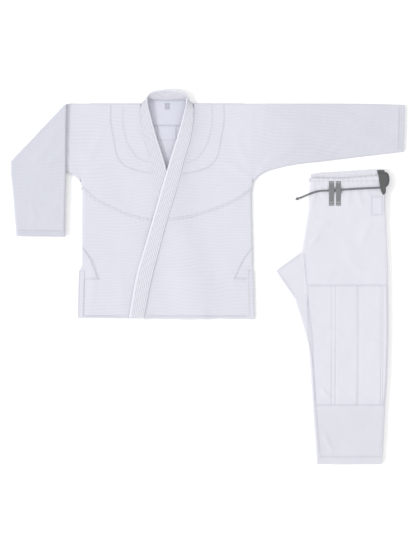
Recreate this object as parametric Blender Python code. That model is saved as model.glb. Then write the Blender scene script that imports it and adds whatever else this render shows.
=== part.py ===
"""Jiu-jitsu uniform laid flat: wrap jacket and folded drawstring trousers.

Outlines are written in millimetres on the floor plane and scaled to metres.
+X runs to the extended sleeve, +Y to the neck and the waist, +Z up.
"""
import bmesh
import bpy
from mathutils import Vector

MM = 0.001
GAP = 0.3                       # running gap between two touching pieces
SHIFT = (-1.609, 1.0)          # puts the centre of the outline's box on the origin

# jacket layers, heights above the floor
BACK = (0.0, 2.0)
LINING = (2.3, 3.0)
SIDE_WALL = (2.3, 7.7)
FRONT = (8.0, 10.0)
OVERLAY = (10.3, 11.1)
SHOULDER_LINING = (7.0, 7.7)
FLAP = (15.3, 17.3)
FLAP_OVERLAY = (17.6, 18.4)
SLEEVE = (0.0, 11.0)
FOLDED_SLEEVE = (11.4, 22.4)
SLEEVE_WALL = 1.8
FACING_WALL = 0.8
CUFF_FACING = 30.0              # how far the cuff facing reaches into the sleeve

# jacket places
CENTRE_X = -137.5
SHOULDER_Y = 587.0
ARMPIT_Y = 314.0
RIGHT_ARM_X = -430.7
LEFT_ARM_X = 154.7
HEM_Y = -142.0
ELBOW_X = 410.0
FOLD_HIGH = (-479.0, 587.0)     # right sleeve's fold line, shoulder end
FOLD_LOW = (-667.0, 389.0)      # right sleeve's fold line, elbow end
BREAK_HIGH = (-46.0, 575.0)     # line about which the left front turns back
BREAK_LOW = (0.0, -145.0)

# collar
COLLAR_THICK = 6.5
COLLAR_WALL = 1.2
RIGHT_LAPEL_Z = 11.5
LEFT_LAPEL_Z = 18.8
LAPEL = [                       # left lapel, (free edge, seam edge), neck to hem
    ((-77.5, 566.0), (-46.0, 568.0)),
    ((-88.0, 525.0), (-46.8, 522.0)),
    ((-105.0, 466.0), (-56.5, 460.0)),
    ((-126.0, 400.0), (-77.0, 392.0)),
    ((-150.0, 318.0), (-98.0, 307.0)),
    ((-189.0, 183.0), (-136.0, 183.0)),
    ((-216.0, 91.0), (-160.5, 91.0)),
    ((-242.0, 0.0), (-187.0, -12.0)),
    ((-266.0, -139.0), (-213.0, -142.0)),
]
NECK = [                        # right half of the back collar, seam then free edge
    ((-229.0, 568.6, 11.5), (-197.5, 566.6, 18.0)),
    ((-222.0, 588.0, 9.5), (-203.0, 592.0, 22.0)),
    ((-200.0, 601.0, 7.5), (-203.0, 612.0, 25.0)),
    ((-170.0, 600.0, 6.6), (-184.0, 627.0, 26.0)),
    ((-137.5, 598.0, 6.6), (-137.5, 634.0, 26.0)),
]
NECK_LEFT_END = ((-46.0, 568.6, 18.8), (-77.5, 566.6, 22.0))
NECK_STEPS = 3                  # sections between two of the neck's stations

# trousers layers
LEG_WALL = 1.2
TRIM_BELOW = (0.0, 0.7)
RIGHT_LEG = (1.0, 8.8)
LEFT_LEG = (9.2, 17.0)
KNEE_TRIM = (17.3, 18.1)
WAIST_Z = (1.0, 23.4)
FOLD_GAP = 0.4
CENTRE_FOLD = 10.0              # depth of the fold's wall at the centre seam
BAND_WALL = 0.9
BAND_FRONT = 1.8
BAND_BACK = 4.6
LOOP_THICK = 1.0
HIP_Y = 84.0
KNEE_Y = -233.0
PATCH_TOP = -27.0
PATCH_BOTTOM = -439.0
LEG_EDGES = [                   # (y, inner edge x, outer edge x)
    (HIP_Y, 319.0, 609.0),
    (42.0, 323.0, 611.0),
    (-24.0, 328.0, 612.0),
    (-62.0, 329.0, 612.6),
    (-72.0, 303.0, 612.8),
    (-120.0, 320.0, 613.4),
    (-179.0, 331.0, 614.0),
    (KNEE_Y, 343.0, 612.6),
    (-345.0, 351.0, 609.0),
    (-459.0, 359.0, 601.0),
    (-636.0, 372.0, 592.0),
]

# drawstring
CORD_DIAMETER = 6.5
CORD_FLAT = 2.2                 # the soft braid pressed flat inside its channel
KNOT_RADIUS = 5.2
KNOT_CENTRE = (306.0, 264.6, 5.6)
CORD_ROUTE = [
    (602.0, 351.0, 14.7),
    (606.5, 350.4, 14.8),
    (611.0, 345.0, 15.3),
    (613.4, 335.0, 17.2),
    (613.0, 323.0, 20.6),
    (610.0, 313.0, 24.4),
    (604.0, 306.0, 26.9),
    (594.0, 302.0, 27.1),
    (577.0, 300.0, 27.1),
    (540.0, 298.5, 27.1),
    (500.0, 296.5, 27.1),
    (456.0, 293.5, 27.1),
    (411.0, 291.0, 27.1),
    (378.0, 289.0, 27.1),
    (359.0, 284.5, 27.3),
    (348.0, 280.8, 27.4),
    (340.0, 277.5, 26.2),
    (334.0, 275.0, 21.0),
    (329.0, 273.0, 14.5),
    (323.0, 270.6, 9.0),
    (317.0, 268.3, 6.5),
    (311.9, 266.4, 5.7),
]

WHITE = (0.76, 0.77, 0.83, 1.0)
CANVAS = (0.80, 0.80, 0.85, 1.0)
COLLAR_WHITE = (0.72, 0.73, 0.79, 1.0)
CORE_GREY = (0.45, 0.45, 0.46, 1.0)
TRIM_GREY = (0.27, 0.27, 0.29, 1.0)
LABEL_GREY = (0.62, 0.62, 0.66, 1.0)


def clear_scene():
    for obj in list(bpy.data.objects):
        bpy.data.objects.remove(obj, do_unlink=True)


def material(name, color, roughness):
    mat = bpy.data.materials.new(name)
    mat.use_nodes = True
    shader = mat.node_tree.nodes["Principled BSDF"]
    shader.inputs["Base Color"].default_value = color
    shader.inputs["Roughness"].default_value = roughness
    shader.inputs["Metallic"].default_value = 0.0
    return mat


def place(point):
    """A point in millimetres becomes a scene point in metres."""
    return Vector(((point[0] + SHIFT[0]) * MM, (point[1] + SHIFT[1]) * MM, point[2] * MM))


def add_object(name, bm, mat):
    bmesh.ops.recalc_face_normals(bm, faces=bm.faces)
    mesh = bpy.data.meshes.new(name)
    bm.to_mesh(mesh)
    bm.free()
    mesh.materials.append(mat)
    obj = bpy.data.objects.new(name, mesh)
    bpy.context.scene.collection.objects.link(obj)
    return obj


def plate(name, outline, heights, mat):
    """A flat piece of cloth: an outline raised between two heights."""
    bm = bmesh.new()
    low = [bm.verts.new(place((x, y, heights[0]))) for x, y in outline]
    high = [bm.verts.new(place((x, y, heights[1]))) for x, y in outline]
    bm.faces.new(low[::-1])
    bm.faces.new(high)
    count = len(outline)
    for i in range(count):
        j = (i + 1) % count
        bm.faces.new((low[i], low[j], high[j], high[i]))
    return add_object(name, bm, mat)


def solid_loft(name, rings, mat):
    """A closed body skinned over rings of equal point count."""
    bm = bmesh.new()
    loops = [[bm.verts.new(place(p)) for p in ring] for ring in rings]
    count = len(loops[0])
    for a, b in zip(loops, loops[1:]):
        for i in range(count):
            j = (i + 1) % count
            bm.faces.new((a[i], a[j], b[j], b[i]))
    bm.faces.new(loops[0])
    bm.faces.new(loops[-1][::-1])
    return add_object(name, bm, mat)


def tube_loft(name, outer, inner, mat):
    """A tube open at both ends, skinned over outer and inner rings."""
    bm = bmesh.new()
    skins = []
    for rings in (outer, inner):
        skins.append([[bm.verts.new(place(p)) for p in ring] for ring in rings])
    count = len(outer[0])
    for loops in skins:
        for a, b in zip(loops, loops[1:]):
            for i in range(count):
                j = (i + 1) % count
                bm.faces.new((a[i], a[j], b[j], b[i]))
    for end in (0, -1):
        a = skins[0][end]
        b = skins[1][end]
        for i in range(count):
            j = (i + 1) % count
            bm.faces.new((a[i], a[j], b[j], b[i]))
    return add_object(name, bm, mat)


def flat_ring(edge_a, edge_b, heights, inset):
    """Six-sided section between two edges of a flattened tube, pulled in by inset."""
    a = Vector(edge_a)
    b = Vector(edge_b)
    across = (b - a).normalized()
    low = heights[0] + inset
    high = heights[1] - inset
    middle = (heights[0] + heights[1]) / 2.0
    round_off = (heights[1] - heights[0]) * 0.35
    a_tip = a + across * inset
    b_tip = b - across * inset
    a_flat = a + across * round_off
    b_flat = b - across * round_off
    return [
        (a_flat.x, a_flat.y, low),
        (b_flat.x, b_flat.y, low),
        (b_tip.x, b_tip.y, middle),
        (b_flat.x, b_flat.y, high),
        (a_flat.x, a_flat.y, high),
        (a_tip.x, a_tip.y, middle),
    ]


def flat_tube(name, stations, heights, wall, mat):
    outer = [flat_ring(a, b, heights, 0.0) for a, b in stations]
    inner = [flat_ring(a, b, heights, wall) for a, b in stations]
    return tube_loft(name, outer, inner, mat)


def inner_tube(name, stations, heights, outside_wall, wall, mat):
    """A facing: a thinner tube lying inside a flattened tube's wall."""
    start = outside_wall + GAP
    outer = [flat_ring(a, b, heights, start) for a, b in stations]
    inner = [flat_ring(a, b, heights, start + wall) for a, b in stations]
    return tube_loft(name, outer, inner, mat)


def between(p, q, t):
    return tuple(a + (b - a) * t for a, b in zip(p, q))


def mirror_x(point):
    return (2.0 * CENTRE_X - point[0],) + tuple(point[1:])


def mirror_waist(heights):
    """The same layer on the other half of the folded trousers' waist."""
    total = WAIST_Z[0] + WAIST_Z[1]
    return (total - heights[1], total - heights[0])


def smooth_route(points, steps):
    """Catmull-Rom curve through a route's own points."""
    smooth = []
    last = len(points) - 1
    for i in range(last):
        p0 = Vector(points[max(i - 1, 0)])
        p1 = Vector(points[i])
        p2 = Vector(points[i + 1])
        p3 = Vector(points[min(i + 2, last)])
        for step in range(steps):
            t = step / steps
            smooth.append(0.5 * (
                2.0 * p1 + (p2 - p0) * t
                + (2.0 * p0 - 5.0 * p1 + 4.0 * p2 - p3) * t ** 2
                + (3.0 * p1 - p0 - 3.0 * p2 + p3) * t ** 3
            ))
    smooth.append(Vector(points[-1]))
    return smooth


# ---------------------------------------------------------------- collar

def strip_rings(stations, thickness, inset, ends):
    """Sections of a thick band between a seam edge and a free edge.

    ends gives the band's direction at its first and last section, or None.
    """
    rings = []
    last = len(stations) - 1
    for i, (seam, free) in enumerate(stations):
        before = stations[max(i - 1, 0)]
        after = stations[min(i + 1, last)]
        start = (Vector(before[0]) + Vector(before[1])) / 2.0
        stop = (Vector(after[0]) + Vector(after[1])) / 2.0
        along = stop - start
        if i == 0 and ends[0] is not None:
            along = ends[0]
        if i == last and ends[1] is not None:
            along = ends[1]
        across = Vector(free) - Vector(seam)
        width = across.length
        across.normalize()
        up = across.cross(along).normalized()
        if i and up.dot(last_up) < 0.0:
            up = -up
        last_up = up
        half = thickness / 2.0 - inset
        a = Vector(seam) + across * inset
        b = Vector(seam) + across * (width - inset)
        a_flat = Vector(seam) + across * (thickness * 0.4)
        b_flat = Vector(seam) + across * (width - thickness * 0.4)
        rings.append([
            a_flat - up * half,
            b_flat - up * half,
            b,
            b_flat + up * half,
            a_flat + up * half,
            a,
        ])
    return rings


def collar_piece(name, stations, ends, cover, core):
    """Stitched cover with the moulded core strip inside."""
    outer = strip_rings(stations, COLLAR_THICK, 0.0, ends)
    inner = strip_rings(stations, COLLAR_THICK, COLLAR_WALL, ends)
    tube_loft(name, outer, inner, cover)
    filling = strip_rings(stations, COLLAR_THICK, COLLAR_WALL + GAP, ends)
    flat_corners = [[ring[k] for k in (0, 1, 3, 4)] for ring in filling]
    solid_loft(name + "_core", flat_corners, core)


def lapel_stations(height, mirrored, lift):
    """Lapel edges at a height; the free edge lifts by lift at the neck end."""
    stations = []
    for i, (free, seam) in enumerate(LAPEL):
        raised = lift * max(0.0, 1.0 - i / 2.0)
        edges = [(seam[0], seam[1], height), (free[0], free[1], height + raised)]
        if mirrored:
            edges = [mirror_x(p) for p in edges]
        stations.append(tuple(edges))
    return stations


def neck_stations():
    left = [tuple(mirror_x(p) for p in pair) for pair in NECK[1:-1]]
    stations = NECK + left[::-1] + [NECK_LEFT_END]
    seam = smooth_route([pair[0] for pair in stations], NECK_STEPS)
    free = smooth_route([pair[1] for pair in stations], NECK_STEPS)
    return list(zip(seam, free))


def build_collar(cover, core):
    right = lapel_stations(RIGHT_LAPEL_Z, True, 6.5)
    left = lapel_stations(LEFT_LAPEL_Z, False, 3.2)
    down = Vector((BREAK_LOW[0] - BREAK_HIGH[0], BREAK_LOW[1] - BREAK_HIGH[1], 0.0))
    up = Vector((down.x, -down.y, 0.0))
    collar_piece("right_lapel", right, (-up, None), cover, core)
    collar_piece("left_lapel", left, (down, None), cover, core)
    collar_piece("back_collar", neck_stations(), (up, down), cover, core)


# ---------------------------------------------------------------- jacket body

def seam_line(mirrored, low_y, high_y, clearance):
    """The lapel's seam edge between two heights on the body, neck end first."""
    points = []
    for _, seam in LAPEL:
        if low_y <= seam[1] <= high_y:
            x = seam[0] + clearance
            points.append(mirror_x((x, seam[1])) if mirrored else (x, seam[1]))
    return points


def break_x(y):
    """The break line's x at a height on the body."""
    t = (BREAK_HIGH[1] - y) / (BREAK_HIGH[1] - BREAK_LOW[1])
    return BREAK_HIGH[0] + (BREAK_LOW[0] - BREAK_HIGH[0]) * t


def build_body(cloth, lining, label):
    plate("back_panel", [
        (-440, -140), (160, -145), (155, 42), (150, 284), (LEFT_ARM_X, ARMPIT_Y),
        (LEFT_ARM_X, SHOULDER_Y), (-58, SHOULDER_Y), (-88, 593), (-137.5, 594), (-187, 593),
        (-217, SHOULDER_Y), (RIGHT_ARM_X, SHOULDER_Y), (RIGHT_ARM_X, ARMPIT_Y),
        (-426, 300), (-428, 37), (-436, 15),
    ], BACK, cloth)
    plate("right_front_panel", [
        (-440, -140), (-436, 15), (-428, 37), (-426, 300), (RIGHT_ARM_X, ARMPIT_Y),
        (RIGHT_ARM_X, SHOULDER_Y), (-229.5, SHOULDER_Y),
    ] + seam_line(True, -150, 580, GAP * 2) + [(-66, HEM_Y)], FRONT, cloth)
    plate("left_front_panel", [
        (BREAK_LOW[0] + GAP, BREAK_LOW[1]), (160, -145), (155, 42), (150, 284),
        (LEFT_ARM_X, ARMPIT_Y), (LEFT_ARM_X, SHOULDER_Y), (-45, SHOULDER_Y), (-45, 575),
    ], FRONT, cloth)
    flap_top = 536.0
    seam = seam_line(False, -150, flap_top, GAP * 2)
    plate("left_front_flap", [
        (break_x(flap_top) - GAP, flap_top), (-46.0, flap_top),
    ] + seam + [(-200, -144), (BREAK_LOW[0] - GAP, BREAK_LOW[1])], FLAP, cloth)
    plate("yoke_lining", [
        (-400, 514), (125, 514), (125, 580), (-58, 580), (-88, 590), (-137.5, 591),
        (-187, 590), (-217, 580), (-400, 580),
    ], LINING, lining)
    plate("inner_back_patch", [
        (-166, 462), (-110, 462), (-110, 513.5), (-166, 513.5),
    ], LINING, lining)
    label_z = LINING[1] + GAP
    plate("neck_label", [
        (-145, 568), (-129, 568), (-129, 589), (-145, 589),
    ], (label_z, label_z + 0.5), label)


def wall_strip(name, line, width, mat):
    """A folded seam wall that joins front and back along a line of points."""
    side_a = []
    side_b = []
    for i, point in enumerate(line):
        before = Vector(line[max(i - 1, 0)])
        after = Vector(line[min(i + 1, len(line) - 1)])
        along = (after - before).normalized()
        normal = Vector((-along.y, along.x)) * width / 2.0
        side_a.append(tuple(Vector(point) + normal))
        side_b.append(tuple(Vector(point) - normal))
    plate(name, side_a + side_b[::-1], SIDE_WALL, mat)


def build_seams(cloth):
    wall = 3.0
    wall_strip("right_side_seam", [(-424.3, 296), (-426, 40)], wall, cloth)
    wall_strip("left_side_seam", [(147.6, 280), (152.6, 45)], wall, cloth)
    wall_strip("right_shoulder_seam", [(-428, 585), (-232, 585)], wall, cloth)
    wall_strip("left_shoulder_seam", [(-43, 585), (152, 585)], wall, cloth)
    plate("right_armpit_gusset", [
        (-427, 301), (-405, 310), (-404, 330), (-429, 352),
    ], SIDE_WALL, cloth)
    plate("left_armpit_gusset", [
        (148.8, 286), (152.5, 352), (128, 330), (129, 300),
    ], SIDE_WALL, cloth)


def build_overlays(cloth, lining):
    """Second layer over the chest, its lower edge a shallow curve from side to side."""
    right_curve = [(-424, 300), (-380, 261), (-326, 234), (-272, 210), (-200, 193), (-150, 186)]
    plate("right_chest_overlay", right_curve + seam_line(True, 200, 580, 1.0)[::-1] + [
        (-230.5, 585), (-429, 585), (-429, 318),
    ], OVERLAY, cloth)
    left_curve = [(break_x(215) + 1.0, 215), (28, 232), (93, 259), (148, 297)]
    plate("left_chest_overlay", left_curve + [
        (153, 318), (153, 585), (-43, 585), (break_x(570) + 1.5, 570),
    ], OVERLAY, cloth)
    flap_curve = [(-128.5, 194), (-108, 196), (-54, 205), (break_x(215) - 1.0, 215)]
    plate("flap_chest_overlay", flap_curve + [
        (break_x(528) - 1.0, 528),
    ] + seam_line(False, 200, 500, 1.6), FLAP_OVERLAY, cloth)
    plate("right_shoulder_lining", [
        (-342, 581), (-326, 484), (-310, 413), (-277, 376), (-234, 358), (-192, 352),
        (-212, 440), (-226, 520), (-232, 581),
    ], SHOULDER_LINING, lining)
    plate("left_shoulder_lining", [
        (55, 581), (-42, 581), (-38, 480), (-31, 366), (-5, 370), (33, 408), (55, 478),
    ], SHOULDER_LINING, lining)


def build_slits(cloth):
    """Reinforcement over the top of each side slit, with a facing down its edge."""
    plate("right_slit_reinforcement", [
        (-424, 112), (-413, 104), (-386, 61), (-369, 23), (-353, -6), (-421, -9),
        (-423, -138), (-437, -138), (-434, 0), (-425.5, 36),
    ], OVERLAY, cloth)
    plate("left_slit_reinforcement", [
        (146, 95), (136, 92), (120, 72), (101, 34), (90, 2), (84, -14), (139.5, -20),
        (139.5, -143), (157, -143), (152, 42),
    ], OVERLAY, cloth)


# ---------------------------------------------------------------- sleeves

def fold_point(t, inward):
    """A point on the right sleeve's fold line, moved inward off the line."""
    start = Vector(FOLD_HIGH)
    stop = Vector(FOLD_LOW)
    along = (stop - start).normalized()
    inside = Vector((-along.y, along.x))
    point = start + (stop - start) * t + inside * inward
    return (point.x, point.y)


def build_sleeves(cloth, facing):
    flat_tube("right_upper_sleeve", [
        ((-431.3, SHOULDER_Y), (-431.3, 320.0)),
        ((-470.0, SHOULDER_Y), (-500.0, 362.0)),
        ((-477.0, SHOULDER_Y), (-590.0, 384.0)),
        (fold_point(0.0, 0.3), fold_point(1.0, 0.3)),
    ], SLEEVE, SLEEVE_WALL, cloth)
    cuff = ((-483.0, 133.0), (-649.0, 139.0))
    bend = ((-480.5, 400.0), (-660.0, 292.0))
    flat_tube("right_forearm", [
        (fold_point(0.0, 0.3), fold_point(1.0, 0.3)),
        bend,
        cuff,
    ], FOLDED_SLEEVE, SLEEVE_WALL, cloth)
    reach = CUFF_FACING / 267.0
    deep = (between(cuff[0], bend[0], reach), between(cuff[1], bend[1], reach * 1.6))
    inner_tube("right_cuff_facing", [deep, cuff], FOLDED_SLEEVE, SLEEVE_WALL, FACING_WALL, facing)

    flat_tube("left_upper_sleeve", [
        ((LEFT_ARM_X + GAP, SHOULDER_Y), (LEFT_ARM_X + GAP, 320.0)),
        ((176.0, SHOULDER_Y), (176.0, 343.0)),
        ((218.0, SHOULDER_Y), (218.0, 362.0)),
        ((300.0, SHOULDER_Y), (300.0, 380.0)),
        ((ELBOW_X - GAP, SHOULDER_Y), (ELBOW_X - GAP, 393.0)),
    ], SLEEVE, SLEEVE_WALL, cloth)
    cuff = ((670.0, 583.0), (666.0, 423.0))
    bend = ((540.0, 586.0), (540.0, 409.0))
    flat_tube("left_forearm", [
        ((ELBOW_X + GAP, SHOULDER_Y), (ELBOW_X + GAP, 393.0)),
        bend,
        cuff,
    ], SLEEVE, SLEEVE_WALL, cloth)
    reach = CUFF_FACING / 128.0
    deep = (between(cuff[0], bend[0], reach), between(cuff[1], bend[1], reach))
    inner_tube("left_cuff_facing", [deep, cuff], SLEEVE, SLEEVE_WALL, FACING_WALL, facing)


# ---------------------------------------------------------------- trousers

def leg_stations(high_y, low_y):
    rows = [row for row in LEG_EDGES if low_y - 1.0 <= row[0] <= high_y + 1.0]
    stations = []
    for y, inner, outer in rows:
        y = min(max(y, low_y), high_y)
        stations.append(((inner, y), (outer, y)))
    return stations


def leg_edge(y):
    """Inner and outer edge of the leg at a height."""
    for upper, lower in zip(LEG_EDGES, LEG_EDGES[1:]):
        if lower[0] <= y <= upper[0]:
            t = (upper[0] - y) / (upper[0] - lower[0])
            return tuple(a + (b - a) * t for a, b in zip(upper[1:], lower[1:]))
    raise ValueError("height outside the leg")


def hip_ring(y, left, right, heights, inset):
    """Section of the hips folded at the centre seam: a C that opens to the right."""
    low = heights[0] + inset
    high = heights[1] - inset
    middle = (heights[0] + heights[1]) / 2.0
    under = middle - FOLD_GAP / 2.0 - inset
    over = middle + FOLD_GAP / 2.0 + inset
    fold = left + CENTRE_FOLD - inset
    left = left + inset
    right = right - inset
    corners = [
        (left, low), (right, low), (right, under), (fold, under),
        (fold, over), (right, over), (right, high), (left, high),
    ]
    return [(x, y, z) for x, z in corners]


def build_legs(cloth):
    hips = [
        (322.0, 346.0, 601.0, WAIST_Z),
        (235.0, 342.0, 602.0, WAIST_Z),
        (176.0, 334.5, 605.0, (RIGHT_LEG[0], LEFT_LEG[1])),
        (HIP_Y + GAP, 319.3, 609.0, (RIGHT_LEG[0], LEFT_LEG[1])),
    ]
    outer = [hip_ring(*row, 0.0) for row in hips]
    inner = [hip_ring(*row, LEG_WALL) for row in hips]
    tube_loft("hips", outer, inner, cloth)
    thigh = leg_stations(HIP_Y, KNEE_Y + GAP)
    shin = leg_stations(KNEE_Y - GAP, -636.0)
    for side, heights in (("right", RIGHT_LEG), ("left", LEFT_LEG)):
        flat_tube(side + "_thigh", thigh, heights, LEG_WALL, cloth)
        flat_tube(side + "_lower_leg", shin, heights, LEG_WALL, cloth)
        middle = (heights[0] + heights[1]) / 2.0
        plate(side + "_crotch_gusset", [
            (317.5, 80), (233, 20), (268, -28), (294, -60), (327.5, -60), (326.5, -22), (321.5, 42),
        ], (middle - 1.0, middle + 1.0), cloth)


def patch_outline(high_y, low_y):
    margin = 5.0
    ys = [high_y] + [r[0] for r in LEG_EDGES if low_y < r[0] < high_y] + [low_y]
    ys = [y for y in ys if not -75.0 < y < -60.0]
    inner = []
    outer = []
    for y in ys:
        left, right = leg_edge(y)
        inner.append((max(left, 330.0) + margin, y))
        outer.append((right - margin, y))
    return inner + outer[::-1]


def build_knee_patches(cloth):
    upper = patch_outline(PATCH_TOP, KNEE_Y + GAP)
    lower = patch_outline(KNEE_Y - GAP, PATCH_BOTTOM)
    for side, heights in (("right", TRIM_BELOW), ("left", KNEE_TRIM)):
        plate(side + "_knee_patch_upper", upper, heights, cloth)
        plate(side + "_knee_patch_lower", lower, heights, cloth)


def build_waistband(cloth, cord):
    front_high = (WAIST_Z[1] - BAND_FRONT, WAIST_Z[1])
    middle = (WAIST_Z[0] + WAIST_Z[1]) / 2.0
    back_high = (middle + FOLD_GAP / 2.0, middle + FOLD_GAP / 2.0 + BAND_BACK)
    low_y = 322.0 + GAP
    front = [(346, low_y), (601, low_y), (601, 343), (577, 342), (450, 332), (347, 334)]
    back = [
        ((352.0, low_y), (352.0, 348.0)),
        ((450.0, low_y), (450.0, 354.0)),
        ((581.0, low_y), (581.0, 363.0)),
        ((601.0, low_y), (601.0, 362.0)),
    ]
    cord_line = [(353, 329), (601.1, 345), (601.1, 357), (353, 341)]
    centre = (back_high[0] + back_high[1]) / 2.0
    cord_high = (centre - CORD_FLAT / 2.0, centre + CORD_FLAT / 2.0)
    plate("left_front_waistband", front, front_high, cloth)
    plate("right_front_waistband", front, mirror_waist(front_high), cloth)
    flat_tube("left_back_waistband", back, back_high, BAND_WALL, cloth)
    flat_tube("right_back_waistband", back, mirror_waist(back_high), BAND_WALL, cloth)
    plate("drawstring_in_left_channel", cord_line, cord_high, cord)
    plate("drawstring_in_right_channel", cord_line, mirror_waist(cord_high), cord)


def bridge(name, profile, left, right, mat):
    """A belt loop: a side profile in y and z, swept from left to right."""
    solid_loft(name, [[(x, y, z) for y, z in profile] for x in (left, right)], mat)


def loop_profile(line):
    top = [(y, z + LOOP_THICK) for y, z in line]
    return top + line[::-1]


def build_loops(trim, cloth):
    rest = WAIST_Z[1] + GAP
    raised = rest + CORD_DIAMETER + 0.8
    front = [(240, rest), (250, rest), (268, raised), (302, raised), (318, rest), (328, rest)]
    shelf = (WAIST_Z[0] + WAIST_Z[1] + FOLD_GAP) / 2.0 + BAND_BACK + GAP
    side = [
        (277, rest), (284, rest), (293, raised), (313, raised), (333, rest + 0.6),
        (345, rest + 0.6), (351, shelf), (361, shelf),
    ]
    below = TRIM_BELOW
    places = (("outer", 412.0, 431.0), ("inner", 436.0, 454.0))
    for word, left, right in places:
        bridge("left_%s_belt_loop" % word, loop_profile(front), left, right, trim)
        outline = [(left, 240), (right, 240), (right, 328), (left, 328)]
        plate("right_%s_belt_loop" % word, outline, below, trim)
    bridge("left_side_belt_loop", loop_profile(side), 580.0, 600.6, trim)
    outline = [(580.0, 277), (600.6, 277), (600.6, 361), (580.0, 361)]
    plate("right_side_belt_loop", outline, below, trim)
    patch = [(552, 206), (600, 206), (600, 274), (552, 274)]
    plate("left_side_patch", patch, (rest, rest + 0.8), cloth)
    plate("right_side_patch", patch, below, cloth)


# ---------------------------------------------------------------- drawstring

def even_route(points, spacing):
    """The same curve with its points an even distance apart."""
    dense = smooth_route(points, 24)
    total = sum((b - a).length for a, b in zip(dense, dense[1:]))
    count = round(total / spacing)
    step = total / count
    even = [dense[0]]
    travelled = 0.0
    for a, b in zip(dense, dense[1:]):
        length = (b - a).length
        while len(even) < count and travelled + length >= step * len(even):
            even.append(a + (b - a) * ((step * len(even) - travelled) / length))
        travelled += length
    return even[:count] + [dense[-1]]


def build_drawstring(cord):
    points = even_route(CORD_ROUTE, CORD_DIAMETER)
    curve = bpy.data.curves.new("drawstring", "CURVE")
    curve.dimensions = "3D"
    curve.bevel_depth = CORD_DIAMETER / 2.0 * MM
    curve.bevel_resolution = 3
    curve.use_fill_caps = True
    spline = curve.splines.new("POLY")
    spline.points.add(len(points) - 1)
    for slot, point in zip(spline.points, points):
        slot.co = (*place(point), 1.0)
    curve.materials.append(cord)
    tube = bpy.data.objects.new("drawstring", curve)
    bpy.context.scene.collection.objects.link(tube)

    bm = bmesh.new()
    bmesh.ops.create_icosphere(bm, subdivisions=2, radius=KNOT_RADIUS * MM)
    bmesh.ops.translate(bm, verts=bm.verts, vec=place(KNOT_CENTRE))
    add_object("drawstring_knot", bm, cord)


def main():
    clear_scene()
    weave = material("pearl_weave", WHITE, 0.9)
    lining = material("lining", CANVAS, 0.9)
    canvas = material("trouser_canvas", CANVAS, 0.9)
    cover = material("collar_cover", COLLAR_WHITE, 0.85)
    core = material("collar_core", CORE_GREY, 0.7)
    trim = material("trim_webbing", TRIM_GREY, 0.85)
    cord = material("drawstring_braid", TRIM_GREY, 0.85)
    label = material("blank_label", LABEL_GREY, 0.6)
    build_body(weave, lining, label)
    build_seams(weave)
    build_overlays(weave, lining)
    build_slits(weave)
    build_sleeves(weave, lining)
    build_collar(cover, core)
    build_legs(canvas)
    build_knee_patches(canvas)
    build_waistband(canvas, cord)
    build_loops(trim, canvas)
    build_drawstring(cord)


main()
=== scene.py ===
"""Looks of a jiu-jitsu uniform laid flat: woven cloth, stitched collar, grey tape and a braided cord.

Lengths in this file are millimetres on the floor plane, as in the part's source;
place() turns them into the frame's metres.
"""
import math

import bmesh
import bpy
import numpy as np
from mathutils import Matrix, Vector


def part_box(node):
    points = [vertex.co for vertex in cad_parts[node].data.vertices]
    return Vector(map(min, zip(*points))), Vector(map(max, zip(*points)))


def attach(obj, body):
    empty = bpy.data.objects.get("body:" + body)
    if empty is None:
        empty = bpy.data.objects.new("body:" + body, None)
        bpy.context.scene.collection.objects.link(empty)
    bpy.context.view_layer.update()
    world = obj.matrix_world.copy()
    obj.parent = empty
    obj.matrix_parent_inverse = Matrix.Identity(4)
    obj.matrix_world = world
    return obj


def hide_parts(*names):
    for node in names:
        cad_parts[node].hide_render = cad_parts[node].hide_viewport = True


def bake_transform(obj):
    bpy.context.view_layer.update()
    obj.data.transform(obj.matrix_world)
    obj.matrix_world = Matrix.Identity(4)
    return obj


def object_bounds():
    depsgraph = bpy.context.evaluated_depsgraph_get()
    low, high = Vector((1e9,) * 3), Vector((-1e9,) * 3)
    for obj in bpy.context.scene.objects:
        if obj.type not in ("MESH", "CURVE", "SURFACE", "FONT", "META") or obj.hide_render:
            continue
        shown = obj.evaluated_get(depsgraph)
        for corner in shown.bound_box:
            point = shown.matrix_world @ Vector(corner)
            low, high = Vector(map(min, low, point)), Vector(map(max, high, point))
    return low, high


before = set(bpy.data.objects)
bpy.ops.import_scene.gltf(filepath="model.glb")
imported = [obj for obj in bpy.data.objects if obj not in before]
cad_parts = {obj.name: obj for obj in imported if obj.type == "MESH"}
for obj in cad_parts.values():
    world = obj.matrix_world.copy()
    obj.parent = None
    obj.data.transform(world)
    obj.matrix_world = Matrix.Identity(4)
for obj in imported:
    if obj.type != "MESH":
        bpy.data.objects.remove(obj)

CAD_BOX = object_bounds()

MM = 0.001
SHIFT = np.array((-1.609, 1.0, 0.0))
CLOTH = 1.5                     # jacket cloth
CANVAS = 1.0                    # trouser cloth
EDGE_STEPS = np.array((0.0, 0.25, 0.7, 1.4, 2.4, 4.0))   # grid lines near an edge
BLOCK = np.array([(3, 2, 1, 0), (4, 5, 6, 7), (0, 1, 5, 4), (1, 2, 6, 5), (2, 3, 7, 6), (3, 0, 4, 7)])

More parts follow.
